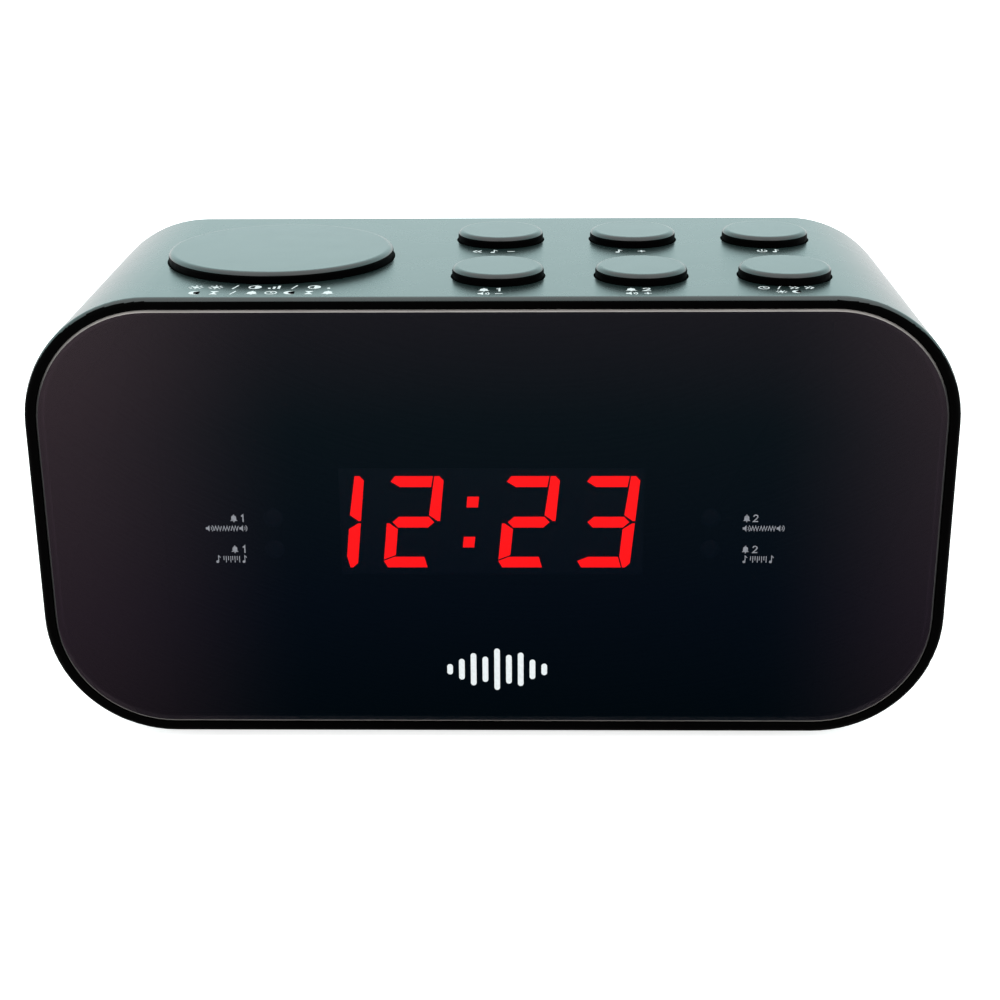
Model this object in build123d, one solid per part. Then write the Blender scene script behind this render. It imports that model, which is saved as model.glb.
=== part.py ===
"""Table clock radio with a round-cornered cabinet, an LED clock display and seven top buttons.

Row frame, in millimetres: +X to the right as the user sees the front, +Y from the front to the
back, +Z up. The origin is the centre of the footprint, on the surface that the feet stand on.
"depth" always means the distance behind the front rim, so y = FRONT_Y + depth.
"""

import os
from math import cos, hypot, pi, radians, sin, tan

from build123d import *

# ---- driving dimensions ------------------------------------------------------------------
WIDTH = 140.3
HEIGHT = 71.0
DEPTH = 57.0
CORNER_R = 19.6
WALL = 2.2
STAND = 1.5  # clear height of the cabinet over the table, set by the feet

FRONT_Y = -DEPTH / 2
BACK_Y = DEPTH / 2
CENTRE_Z = STAND + HEIGHT / 2
TOP_Z = STAND + HEIGHT
FLOOR_Z = STAND + WALL  # upper face of the cabinet's bottom wall
CEILING_Z = TOP_Z - WALL  # lower face of the cabinet's top wall

# ---- cabinet and front -------------------------------------------------------------------
FRONT_EDGE_R = 0.9
BACK_EDGE_R = 0.6
LENS_INSET = 1.85  # from the cabinet's outline to the lens's outline
LENS_T = 2.0
LENS_BEVEL = 0.32
LENS_GAP = 0.1
MASK_T = 0.15
MASK_INSET = 1.0  # from the lens's outline to the mask's outline
FRONT_WALL = 2.0
POCKET_DEPTH = LENS_T + MASK_T
CAVITY_DEPTH = POCKET_DEPTH + FRONT_WALL

# ---- rear cover --------------------------------------------------------------------------
COVER_RECESS = 2.0
COVER_T = 2.2
COVER_GAP = 0.2
COVER_OUT = DEPTH - COVER_RECESS  # depth of the cover's outer face
COVER_IN = COVER_OUT - COVER_T  # depth of the cover's inner face
SKIRT_T = 1.4
SKIRT_LENGTH = 4.0
COLUMN_R = 3.5
COLUMN_X = WIDTH / 2 - 9.5
COLUMN_RISE = HEIGHT / 2 - 9.5
COLUMNS = [(sx * COLUMN_X, CENTRE_Z + sz * COLUMN_RISE) for sx in (-1, 1) for sz in (-1, 1)]

# ---- screws: every one is a self-tapping pan head ----------------------------------------
SCREW_R = 1.25
PILOT_R = 1.3
SCREW_HEAD_R = 2.5
SCREW_HEAD_H = 1.5
SCREW_SLOT_W = 0.6
SCREW_SLOT_DEPTH = 0.7

# ---- feet --------------------------------------------------------------------------------
FOOT_R = 5.0
FOOT_POCKET = 0.6
FOOT_X = WIDTH / 2 - 28.0
FOOT_Y = DEPTH / 2 - 9.0
FEET = [(sx * FOOT_X, sy * FOOT_Y) for sx in (-1, 1) for sy in (-1, 1)]

# ---- buttons -----------------------------------------------------------------------------
SMALL_R = 7.0
SNOOZE_R = 17.8
BUTTON_RISE = 1.7  # cap height above the cabinet's top
BUTTON_EDGE_R = 0.9
BUTTON_GAP = 0.25
BUTTON_TRAVEL = 0.5
CAP_WALL = 1.5
FLANGE_W = 1.0
FLANGE_T = 1.0
FLANGE_CLEAR = 0.4  # below the cabinet's top wall
STEM_R = 2.0
ROW_DEPTHS = {"front": 13.6, "back": 39.3}
COLUMN_XS = {"left": 1.0, "middle": 22.8, "right": 44.6}
SNOOZE_X = -33.7
SNOOZE_DEPTH = sum(ROW_DEPTHS.values()) / 2
BUTTONS = {"snooze": (SNOOZE_X, FRONT_Y + SNOOZE_DEPTH, SNOOZE_R)} | {
    f"{row}_{column}": (x, FRONT_Y + depth, SMALL_R)
    for row, depth in ROW_DEPTHS.items()
    for column, x in COLUMN_XS.items()
}
FLANGE_TOP = CEILING_Z - FLANGE_CLEAR
FLANGE_BOTTOM = FLANGE_TOP - FLANGE_T
CAP_TOP = TOP_Z + BUTTON_RISE

# ---- key board, its frame and the tact switches ------------------------------------------
SWITCH_SIDE = 6.0
SWITCH_BODY_H = 3.5
PLUNGER_R = 1.7
PLUNGER_RISE = 0.8
PLUNGER_SUNK = 0.7
PLUNGER_CLEAR = 0.2
STEM_BOTTOM = FLANGE_BOTTOM - 3.4
BOARD_T = 1.6
KEY_BOARD_TOP = STEM_BOTTOM - PLUNGER_RISE - SWITCH_BODY_H
KEY_BOARD_BOTTOM = KEY_BOARD_TOP - BOARD_T
KEY_BOARD_X = (-52.0, 54.0)
KEY_BOARD_DEPTH = (6.2, 47.5)
KEY_FRAME_T = 1.5
KEY_FRAME_TOP = FLANGE_BOTTOM - BUTTON_TRAVEL - 0.5
KEY_BOSS_R = 2.6
KEY_BOSS_STEP_R = 3.1
KEY_COLLAR_R = 4.0
KEY_BOSS_CLEAR = 0.15
STEM_GUIDE_GAP = 0.3
KEY_BOSSES = [(x, FRONT_Y + depth) for x in (-10.2, 33.7) for depth in (10.2, 26.45, 42.7)]

# ---- display -----------------------------------------------------------------------------
DIGIT_H = 15.0
DIGIT_DROP = 0.2  # from the cabinet's mid height down to the digits'
DIGIT_W = 8.15
SEGMENT_T = 1.76
SEGMENT_GAP = 0.2
CORNER_CUT = 0.7  # how far a digit's outer corners are cut back
MITRE_LEAN = 0.45
KNEE_RISE = 1.15  # where an upright segment's inner edge ends, above mid height
WAIST_IN = 0.4
SLANT = radians(5.6)
DIGIT_LEFTS = (-28.25, -16.1, 1.6, 13.8)  # at mid height; the first digit is only its right side
COLON_X = -3.2
COLON_RISE = 3.3
COLON_SIDE = 1.75
CLOCK_SHOWS = "12:23"
SEGMENTS_OF = {"1": "bc", "2": "abged", "3": "abgcd"}
MODULE_W = 50.3
MODULE_H = 19.0
MODULE_T = 7.0
MODULE_SETBACK = 0.15
SEGMENT_SUNK = 0.4
WINDOW_GAP = 0.4
MASK_WINDOW_W = 46.5
MASK_WINDOW_H = 17.4
PIN_SIDE = 0.5
PIN_PITCH = 2.54
PIN_COUNT = 16
INDICATOR_R = 1.5
INDICATOR_T = 5.0
INDICATOR_X = 33.5
INDICATOR_RISES = (0.65, -4.5)
INDICATOR_GAP = 0.05  # around each lamp in its hole through the shell

# ---- main board --------------------------------------------------------------------------
MAIN_BOARD_DEPTH = 12.0
MAIN_BOARD_BACK = MAIN_BOARD_DEPTH + BOARD_T
MAIN_BOARD_W = 108.0
MAIN_BOARD_Z = (8.5, 55.5)
STANDOFF_R = 2.8
STANDOFF_X = 49.5
STANDOFF_ZS = (12.5, 51.5)

# ---- battery bay -------------------------------------------------------------------------
CELL_R = 5.25
CELL_L = 44.5
CELL_NUB_R = 1.9
CELL_NUB_H = 0.8
BAY_X = (0.5, 48.5)
BAY_DEPTH = (17.2, 39.7)
BAY_WALL = 1.6
CELL_Z = STAND + 3.2 + CELL_R
BAY_ROOF_Z = CELL_Z + CELL_R + 0.4 + BAY_WALL
CONTACT_T = 0.5
SPRING_WIRE_R = 0.4
SPRING_R = 3.0
SPRING_TURNS = 4
DOOR_T = 1.8
DOOR_GAP = 0.3
DOOR_X = (1.5, 47.5)
DOOR_DEPTH = (16.4, 41.2)
DOOR_PIN_R = 0.9
DOOR_PIN_GAP = 0.05

# ---- speaker -----------------------------------------------------------------------------
SPEAKER_X = 26.0
SPEAKER_Z = 35.0
SPEAKER_R = 25.0
GASKET_T = 0.5
GRILLE_R = 21.0
GRILLE_HOLE_R = 1.0
GRILLE_PITCH = 3.6

# ---- transformer -------------------------------------------------------------------------
TRANSFORMER_X = -30.5
TRANSFORMER_Y = FRONT_Y + 34.5
CORE_W = 35.0
CORE_H = 29.5
CORE_STACK = 14.0
CORE_LEG = 9.6
CORE_YOKE = 4.8
BOBBIN_GAP = 0.15
BOBBIN_T = 1.1
BOBBIN_DEPTH = 27.0
BRACKET_T = 0.8
BRACKET_DEPTH = 11.0
BRACKET_EAR_X = 22.0
TRANSFORMER_POST_H = 2.5
TRANSFORMER_BASE_Z = FLOOR_Z + TRANSFORMER_POST_H

# ---- mains cord gland --------------------------------------------------------------------
GLAND_X = -49.0
GLAND_Z = 19.0
GLAND_BORE_R = 2.8
GLAND_BODY_R = 4.5
GLAND_COLLAR_R = 6.2
GLAND_COLLAR_T = 1.8
GLAND_TAIL = 3.4


# ---- shared helpers ----------------------------------------------------------------------
def y_at(depth):
    return FRONT_Y + depth


def along_y(sketch, depth_from, depth_to):
    """A sketch drawn in X and Z, extruded between two depths behind the rim."""
    plane = Plane.XZ.offset(-y_at(depth_from))
    return extrude(plane * sketch, amount=-(depth_to - depth_from))


def along_z(sketch, z_from, z_to):
    """A sketch drawn in X and Y, extruded between two heights."""
    return extrude(Pos(0, 0, z_from) * sketch, amount=z_to - z_from)


def along_x(sketch, x_from, x_to):
    """A sketch drawn in Y and Z, extruded between two X positions."""
    return extrude(Plane.YZ.offset(x_from) * sketch, amount=x_to - x_from)


def block(xs, ys, zs):
    """A box given by its (low, high) X, Y and Z."""
    sizes = [high - low for low, high in (xs, ys, zs)]
    centre = [(low + high) / 2 for low, high in (xs, ys, zs)]
    return Pos(*centre) * Box(*sizes)


def post(x, y, radius, z_from, z_to):
    return along_z(Pos(x, y) * Circle(radius), z_from, z_to)


def bar(x, z, radius, depth_from, depth_to):
    return along_y(Pos(x, z) * Circle(radius), depth_from, depth_to)


def outline(inset):
    """The cabinet's front outline, moved in by inset, drawn in X and Z."""
    shape = RectangleRounded(WIDTH - 2 * inset, HEIGHT - 2 * inset, CORNER_R - inset)
    return Pos(0, CENTRE_Z) * shape


def joined(shapes):
    """Separate solids kept apart in one node."""
    return Compound(children=[solid for shape in shapes for solid in shape.solids()])


def screw_along_y(x, z, head_depth, length):
    """A pan-head screw driven from the back. head_depth is where its head seats."""
    head = bar(x, z, SCREW_HEAD_R, head_depth, head_depth + SCREW_HEAD_H)
    head = fillet(head.edges().group_by(Axis.Y)[-1], SCREW_HEAD_H / 2)
    shank = bar(x, z, SCREW_R, head_depth - length, head_depth)
    top = y_at(head_depth + SCREW_HEAD_H)
    for long_side, short_side in ((SCREW_HEAD_R, SCREW_SLOT_W), (SCREW_SLOT_W, SCREW_HEAD_R)):
        slot = Box(long_side, 2 * SCREW_SLOT_DEPTH, short_side)
        head -= Pos(x, top, z) * slot
    return head + shank


def screw_along_z(x, y, head_z, length, up):
    """A pan-head screw with its head at head_z. up is 1 if the shank points up, or -1."""
    head_far = head_z - up * SCREW_HEAD_H
    head = post(x, y, SCREW_HEAD_R, min(head_z, head_far), max(head_z, head_far))
    far_edges = head.edges().group_by(Axis.Z)[0 if up > 0 else -1]
    head = fillet(far_edges, SCREW_HEAD_H / 2)
    tip = head_z + up * length
    shank = post(x, y, SCREW_R, min(head_z, tip), max(head_z, tip))
    for long_side, short_side in ((SCREW_HEAD_R, SCREW_SLOT_W), (SCREW_SLOT_W, SCREW_HEAD_R)):
        head -= Pos(x, y, head_far) * Box(long_side, short_side, 2 * SCREW_SLOT_DEPTH)
    return head + shank


# ---- cabinet -----------------------------------------------------------------------------
def cabinet_skin():
    """The round-cornered sleeve with its front wall and lens pocket."""
    skin = along_y(outline(0), 0, DEPTH)
    skin = fillet(skin.edges().group_by(Axis.Y)[0], FRONT_EDGE_R)
    skin = fillet(skin.edges().group_by(Axis.Y)[-1], BACK_EDGE_R)
    skin -= along_y(outline(WALL), CAVITY_DEPTH, DEPTH)
    skin -= along_y(outline(LENS_INSET - LENS_GAP), 0, POCKET_DEPTH)
    window = Rectangle(MODULE_W + 2 * WINDOW_GAP, MODULE_H + 2 * WINDOW_GAP)
    skin -= along_y(Pos(0, CENTRE_Z) * window, POCKET_DEPTH, CAVITY_DEPTH)
    for x, z in indicator_places():
        skin -= bar(x, z, INDICATOR_R + INDICATOR_GAP, POCKET_DEPTH, CAVITY_DEPTH)
    return skin


def cabinet_bosses():
    """Everything that stands up inside the sleeve to take a screw."""
    bosses = [bar(x, z, COLUMN_R, CAVITY_DEPTH - WALL / 2, COVER_IN) for x, z in COLUMNS]
    for x in (-STANDOFF_X, STANDOFF_X):
        for z in STANDOFF_ZS:
            bosses.append(bar(x, z, STANDOFF_R, CAVITY_DEPTH - WALL / 2, MAIN_BOARD_DEPTH))
    for x, y in KEY_BOSSES:
        bosses.append(post(x, y, KEY_BOSS_STEP_R, KEY_FRAME_TOP, CEILING_Z + WALL / 2))
        bosses.append(post(x, y, KEY_BOSS_R, KEY_BOARD_TOP, KEY_FRAME_TOP))
    for x in transformer_screw_xs():
        bosses.append(post(x, TRANSFORMER_Y, COLUMN_R, FLOOR_Z - WALL / 2, TRANSFORMER_BASE_Z))
    return bosses


def pilot_holes():
    holes = [bar(x, z, PILOT_R, COVER_IN - 11, COVER_IN) for x, z in COLUMNS]
    for x in (-STANDOFF_X, STANDOFF_X):
        for z in STANDOFF_ZS:
            holes.append(bar(x, z, PILOT_R, MAIN_BOARD_DEPTH - 7, MAIN_BOARD_DEPTH))
    for x, y in KEY_BOSSES:
        holes.append(post(x, y, PILOT_R, KEY_BOARD_TOP, KEY_BOARD_TOP + 6.5))
    for x in transformer_screw_xs():
        holes.append(post(x, TRANSFORMER_Y, PILOT_R, STAND + 0.8, TRANSFORMER_BASE_Z))
    return holes


def battery_bay_block():
    """The solid the bay is cut from. It starts inside the bottom wall."""
    xs = (BAY_X[0] - BAY_WALL, BAY_X[1] + BAY_WALL)
    ys = (y_at(BAY_DEPTH[0] - BAY_WALL), y_at(BAY_DEPTH[1] + BAY_WALL))
    return block(xs, ys, (STAND + WALL / 2, BAY_ROOF_Z))


def battery_bay_space():
    ys = (y_at(BAY_DEPTH[0]), y_at(BAY_DEPTH[1]))
    return block(BAY_X, ys, (STAND + DOOR_T, BAY_ROOF_Z - BAY_WALL))


def door_opening():
    xs = (DOOR_X[0] - DOOR_GAP, DOOR_X[1] + DOOR_GAP)
    ys = (y_at(DOOR_DEPTH[0] - DOOR_GAP), y_at(DOOR_DEPTH[1] + DOOR_GAP))
    return block(xs, ys, (STAND - 1, STAND + DOOR_T))


def make_cabinet_shell():
    shell = cabinet_skin()
    for boss in cabinet_bosses():
        shell += boss
    shell += battery_bay_block()
    shell -= battery_bay_space()
    shell -= door_opening()
    shell -= door_hinge_room()
    for hole in pilot_holes():
        shell -= hole
    for x, y, radius in BUTTONS.values():
        shell -= post(x, y, radius + BUTTON_GAP, CEILING_Z - FLANGE_CLEAR, TOP_Z + 1)
    for x, y in FEET:
        shell -= post(x, y, FOOT_R + LENS_GAP, STAND - 1, STAND + FOOT_POCKET)
    return shell


# ---- front panel -------------------------------------------------------------------------
def make_front_lens():
    lens = along_y(outline(LENS_INSET), 0, LENS_T)
    return chamfer(lens.edges().group_by(Axis.Y)[0], LENS_BEVEL)


def make_lens_mask():
    """Black film behind the lens, open over the digits and the four indicators."""
    mask = outline(LENS_INSET + MASK_INSET)
    mask -= Pos(0, CENTRE_Z) * Rectangle(MASK_WINDOW_W, MASK_WINDOW_H)
    for x, z in indicator_places():
        mask -= Pos(x, z) * Circle(INDICATOR_R)
    return along_y(mask, LENS_T, LENS_T + MASK_T)


def indicator_places():
    return [(sx * INDICATOR_X, CENTRE_Z + rise) for sx in (-1, 1) for rise in INDICATOR_RISES]


def make_indicator_leds():
    start = POCKET_DEPTH + MODULE_SETBACK
    leds = []
    for x, z in indicator_places():
        led = bar(x, z, INDICATOR_R, start, start + INDICATOR_T)
        led = fillet(led.edges().group_by(Axis.Y)[0], INDICATOR_R * 0.6)
        leds.append(led)
    return joined(leds)


# ---- display -----------------------------------------------------------------------------
def digit_outlines():
    """The corners of an upright digit's segments by letter, from its left edge and mid height.

    Each outline goes clockwise.
    """
    right, top, stroke = DIGIT_W, DIGIT_H / 2, SEGMENT_T
    inner = right - stroke
    shoulder = top - stroke
    waist = SEGMENT_GAP
    half = stroke / 2
    outlines = {
        "a": [
            (SEGMENT_GAP / 2, top - half),
            (CORNER_CUT, top),
            (inner + SEGMENT_GAP / 2, top),
            (inner - SEGMENT_GAP / 4, shoulder),
            (stroke - SEGMENT_GAP, shoulder),
        ],
        "b": [
            (inner + SEGMENT_GAP * 1.5, top),
            (right - CORNER_CUT, top),
            (right, top - CORNER_CUT),
            (right, waist),
            (right - WAIST_IN, waist),
            (inner, KNEE_RISE),
        ],
        "c": [
            (right - WAIST_IN, -waist),
            (right, -waist),
            (right, -top + CORNER_CUT),
            (right - CORNER_CUT, -top),
            (inner + MITRE_LEAN + SEGMENT_GAP, -top),
            (inner, -shoulder + SEGMENT_GAP / 2),
            (inner, -KNEE_RISE),
        ],
        "d": [
            (0, -top + half + SEGMENT_GAP),
            (stroke - SEGMENT_GAP, -shoulder),
            (inner - SEGMENT_GAP, -shoulder),
            (inner + MITRE_LEAN, -top),
            (CORNER_CUT, -top),
        ],
        "e": [
            (0, -waist),
            (WAIST_IN, -waist),
            (stroke, -KNEE_RISE),
            (stroke, -shoulder + SEGMENT_GAP * 1.5),
            (0, -top + half + SEGMENT_GAP * 2.2),
        ],
        "f": [
            (0, top - half - SEGMENT_GAP),
            (stroke, shoulder - SEGMENT_GAP * 1.7),
            (stroke, KNEE_RISE),
            (WAIST_IN, waist),
            (0, waist),
        ],
        "g": [
            (half, 0),
            (stroke, half),
            (inner, half),
            (right - half, 0),
            (inner, -half),
            (stroke, -half),
        ],
    }
    return outlines


def slanted(corners, left_x):
    """A clockwise outline leaned to the right by SLANT about mid height, in its place."""
    leaned = [(left_x + x + z * tan(SLANT), CENTRE_Z - DIGIT_DROP + z) for x, z in reversed(corners)]
    return Polygon(*leaned, align=None)


def colon_dots():
    half = COLON_SIDE / 2
    square = [(-half, half), (half, half), (half, -half), (-half, -half)]
    return [
        slanted([(x, z + side * COLON_RISE) for x, z in square], COLON_X) for side in (-1, 1)
    ]


def segment_sketches():
    """The display's segments as sketches: those that glow, and those that are dark."""
    lit, dark = colon_dots(), []
    for shown, left_x in zip(CLOCK_SHOWS.replace(":", ""), DIGIT_LEFTS):
        for name, corners in digit_outlines().items():
            if name in SEGMENTS_OF[shown]:
                lit.append(slanted(corners, left_x))
            elif left_x != DIGIT_LEFTS[0]:
                dark.append(slanted(corners, left_x))
    return lit, dark


def segment_plates(sketches):
    start = POCKET_DEPTH + MODULE_SETBACK
    return [along_y(sketch, start, start + SEGMENT_SUNK) for sketch in sketches]


def make_display_module():
    start = POCKET_DEPTH + MODULE_SETBACK
    module = along_y(Pos(0, CENTRE_Z) * Rectangle(MODULE_W, MODULE_H), start, start + MODULE_T)
    lit, dark = segment_sketches()
    for plate in segment_plates(lit + dark):
        module -= plate
    return module


def pin_places():
    start = -(PIN_COUNT - 1) / 2 * PIN_PITCH
    rows = (CENTRE_Z - MODULE_H / 2 + 1.5, CENTRE_Z + MODULE_H / 2 - 1.5)
    return [(start + i * PIN_PITCH, z) for i in range(PIN_COUNT) for z in rows]


def make_display_pins():
    start = POCKET_DEPTH + MODULE_SETBACK + MODULE_T
    pin = Rectangle(PIN_SIDE, PIN_SIDE)
    return joined(
        along_y(Pos(x, z) * pin, start, MAIN_BOARD_BACK + 1.2) for x, z in pin_places()
    )


# ---- main board and what is on it --------------------------------------------------------
def make_main_board():
    z_low, z_high = MAIN_BOARD_Z
    board = RectangleRounded(MAIN_BOARD_W, z_high - z_low, 2)
    board = Pos(0, (z_low + z_high) / 2) * board
    for x in (-STANDOFF_X, STANDOFF_X):
        for z in STANDOFF_ZS:
            board -= Pos(x, z) * Circle(SCREW_R + 0.2)
    for x, z in pin_places():
        board -= Pos(x, z) * Rectangle(PIN_SIDE + 0.2, PIN_SIDE + 0.2)
    return along_y(board, MAIN_BOARD_DEPTH, MAIN_BOARD_BACK)


def make_main_board_screws():
    places = [(x, z) for x in (-STANDOFF_X, STANDOFF_X) for z in STANDOFF_ZS]
    return joined(screw_along_y(x, z, MAIN_BOARD_BACK, 7.5) for x, z in places)


# Each chip: centre x, centre z, length along X, height along Z, leads on each long side.
CHIPS = [(3.0, 37.0, 17.9, 7.5, 14), (-28.0, 40.0, 9.9, 5.5, 7), (36.0, 44.5, 9.9, 5.5, 7)]
CHIP_T = 2.3
CHIP_OFF_BOARD = 0.3
LEAD_W = 0.45
LEAD_T = 0.25
LEAD_REACH = 1.3
LEAD_PITCH = 1.27


def make_integrated_circuits():
    start = MAIN_BOARD_BACK + CHIP_OFF_BOARD
    chips = []
    for x, z, length, height, _ in CHIPS:
        body = along_y(Pos(x, z) * Rectangle(length, height), start, start + CHIP_T)
        chips.append(chamfer(body.edges().group_by(Axis.Y)[-1], 0.4))
    return joined(chips)


def make_chip_leads():
    """Gull-wing leads: out of the chip's side, then down to a foot on the board."""
    shoulder = MAIN_BOARD_BACK + CHIP_OFF_BOARD + CHIP_T / 2
    leads = []
    for x, z, _, height, count in CHIPS:
        for i in range(count):
            lead_x = x + (i - (count - 1) / 2) * LEAD_PITCH
            for side in (-1, 1):
                root = z + side * height / 2
                knee = root + side * LEAD_REACH / 2
                foot = root + side * LEAD_REACH
                xs = (lead_x - LEAD_W / 2, lead_x + LEAD_W / 2)
                half = LEAD_T / 2
                arm = block(xs, (y_at(shoulder) - half, y_at(shoulder) + half), ordered(root, knee))
                drop_zs = (knee - half, knee + half)
                drop = block(xs, (y_at(MAIN_BOARD_BACK), y_at(shoulder) + half), drop_zs)
                toe_ys = (y_at(MAIN_BOARD_BACK), y_at(MAIN_BOARD_BACK) + LEAD_T)
                toe = block(xs, toe_ys, ordered(knee, foot))
                leads.append(arm + drop + toe)
    return joined(leads)


def ordered(a, b):
    return (min(a, b), max(a, b))


# Each can: centre x, centre z, radius, length.
ELECTROLYTICS = [
    (-7.5, 22.8, 5.0, 12.0),
    (8.0, 23.4, 4.0, 11.5),
    (17.5, 23.0, 3.15, 11.0),
    (26.0, 23.0, 3.15, 11.0),
    (47.0, 37.5, 3.15, 11.0),
]


def make_electrolytic_capacitors():
    cans = []
    for x, z, radius, length in ELECTROLYTICS:
        can = bar(x, z, radius, MAIN_BOARD_BACK + 0.3, MAIN_BOARD_BACK + 0.3 + length)
        can = fillet(can.edges().group_by(Axis.Y)[-1], 0.4)
        groove = along_y(Pos(x, z) * (Circle(radius + 1) - Circle(radius - 0.35)),
                         MAIN_BOARD_BACK + 1.4, MAIN_BOARD_BACK + 2.1)
        vent_y = y_at(MAIN_BOARD_BACK + 0.3 + length)
        can -= groove
        can -= Pos(x, vent_y, z) * Box(radius * 1.2, 0.3, 0.25)
        can -= Pos(x, vent_y, z) * Box(0.25, 0.3, radius * 1.2)
        cans.append(can)
    return joined(cans)


CERAMIC_DISCS = [(-19.0, 37.0), (16.0, 37.0), (31.5, 50.5), (28.0, 34.5), (-12.0, 37.0)]


def make_ceramic_capacitors():
    discs = []
    for x, z in CERAMIC_DISCS:
        disc = along_x(Pos(y_at(MAIN_BOARD_BACK + 4.2), z) * Circle(2.4), x - 0.9, x + 0.9)
        disc = fillet(disc.edges(), 0.5)
        for step in (-1.25, 1.25):
            disc += bar(x, z + step, 0.3, MAIN_BOARD_BACK, MAIN_BOARD_BACK + 3.0)
        discs.append(disc)
    return joined(discs)


# Each axial part: centre x, centre z. Resistors lie along X, diodes along Z.
RESISTORS = [(-36.5, 20.0 + 3.4 * i) for i in range(5)] + [(37.0, 33.0), (37.0, 36.4)]
DIODES = [(-47.5 + 3.3 * i, 43.5) for i in range(4)]
RESISTOR_BODY = (1.15, 6.2)
DIODE_BODY = (1.3, 5.0)
AXIAL_RISE = 1.5
AXIAL_LEAD_R = 0.3
AXIAL_SPAN = 10.0


def axial_part(x, z, body, lies_along_x):
    """A wire-ended part: a small cylinder and two leads bent down to the board."""
    radius, length = body
    centre_y = y_at(MAIN_BOARD_BACK + AXIAL_RISE)
    part = Cylinder(radius, length)
    part = fillet(part.edges(), 0.35) + Cylinder(AXIAL_LEAD_R, AXIAL_SPAN)
    turned = Rot(0, 90, 0) if lies_along_x else Rot(0, 0, 0)
    part = Pos(x, centre_y, z) * turned * part
    for end in (-AXIAL_SPAN / 2, AXIAL_SPAN / 2):
        end_x, end_z = (x + end, z) if lies_along_x else (x, z + end)
        part += bar(end_x, end_z, AXIAL_LEAD_R, MAIN_BOARD_BACK, MAIN_BOARD_BACK + AXIAL_RISE)
    return part


def make_resistors():
    return joined(axial_part(x, z, RESISTOR_BODY, True) for x, z in RESISTORS)


def make_rectifier_diodes():
    return joined(axial_part(x, z, DIODE_BODY, False) for x, z in DIODES)


COIL_CANS = [(-24.2, 50.5), (24.0, 50.5)]
COIL_CAN_SIDE = 7.0
COIL_CAN_H = 8.5


def make_metal_cans():
    """The shielded tuning coils, with their slotted cores, and the clock crystal."""
    cans = []
    for x, z in COIL_CANS:
        start = MAIN_BOARD_BACK
        can = RectangleRounded(COIL_CAN_SIDE, COIL_CAN_SIDE, 0.6)
        can = along_y(Pos(x, z) * can, start, start + COIL_CAN_H)
        can -= bar(x, z, 1.9, start + COIL_CAN_H - 0.8, start + COIL_CAN_H)
        cans.append(can)
    crystal = along_y(Pos(-4.0, 52.3) * SlotOverall(10.5, 4.2), MAIN_BOARD_BACK, MAIN_BOARD_BACK + 3.4)
    cans.append(fillet(crystal.edges().group_by(Axis.Y)[-1], 0.5))
    return joined(cans)


# Each header: centre x, centre z, width along X.
HEADERS = {"key": (-15.5, 52.5, 9.0), "speaker": (44.0, 25.0, 6.0), "supply": (-47.0, 33.0, 8.0)}
HEADER_H = 5.0
HEADER_REACH = 6.0


def make_board_headers():
    headers = []
    for x, z, width in HEADERS.values():
        shape = Pos(x, z) * Rectangle(width, HEADER_H)
        header = along_y(shape, MAIN_BOARD_BACK, MAIN_BOARD_BACK + HEADER_REACH)
        mouth = Pos(x, z) * Rectangle(width - 1.6, HEADER_H - 1.6)
        header -= along_y(mouth, MAIN_BOARD_BACK + 1.2, MAIN_BOARD_BACK + HEADER_REACH)
        headers.append(header)
    return joined(headers)


# ---- ferrite rod antenna -----------------------------------------------------------------
ROD_R = 4.0
ROD_X = (-36.0, 14.0)
ROD_DEPTH = 29.5
ROD_Z = 50.0
ROD_HOLDER_XS = (-33.0, 11.0)
ROD_HOLDER_W = 3.0
COIL_X = (-20.0, -4.0)


def rod_section(radius):
    return Pos(y_at(ROD_DEPTH), ROD_Z) * Circle(radius)


def make_ferrite_rod():
    return along_x(rod_section(ROD_R), *ROD_X)


def make_antenna_coil():
    """Fine wire on a paper sleeve. The winding's ridges are left to its finish."""
    sleeve = along_x(rod_section(ROD_R + 1.0) - rod_section(ROD_R + 0.1), *COIL_X)
    return chamfer(sleeve.edges().filter_by(GeomType.CIRCLE), 0.2)


def make_rod_holders():
    """Two plastic arms from the main board, each with a ring round the rod."""
    holders = []
    for x in ROD_HOLDER_XS:
        xs = (x - ROD_HOLDER_W / 2, x + ROD_HOLDER_W / 2)
        ring = along_x(rod_section(ROD_R + 1.6), *xs)
        arm_ys = (y_at(MAIN_BOARD_BACK), y_at(ROD_DEPTH))
        arm = block(xs, arm_ys, (ROD_Z - 4.5, ROD_Z - 2.0))
        holders.append(ring + arm - along_x(rod_section(ROD_R + 0.1), *xs))
    return joined(holders)


# ---- buttons and switches ----------------------------------------------------------------
def make_button(x, y, radius):
    """A cap with a stop flange under the cabinet's top wall and a stem to its switch."""
    cap = Cylinder(radius, CAP_TOP - FLANGE_BOTTOM, align=(Align.CENTER, Align.CENTER, Align.MIN))
    cap = fillet(cap.edges().group_by(Axis.Z)[-1], BUTTON_EDGE_R)
    cap += Cylinder(radius + FLANGE_W, FLANGE_T, align=(Align.CENTER, Align.CENTER, Align.MIN))
    hollow_h = CAP_TOP - CAP_WALL - FLANGE_BOTTOM
    cap -= Cylinder(radius - CAP_WALL, hollow_h, align=(Align.CENTER, Align.CENTER, Align.MIN))
    cap = Pos(x, y, FLANGE_BOTTOM) * cap
    cap += post(x, y, STEM_R, STEM_BOTTOM, CAP_TOP - CAP_WALL)
    rib = Box(2 * (radius - CAP_WALL), 1.0, 2.0, align=(Align.CENTER, Align.CENTER, Align.MAX))
    for turn in (0, 90):
        cap += Pos(x, y, CAP_TOP - CAP_WALL) * Rot(0, 0, turn) * rib
    return cap


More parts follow.
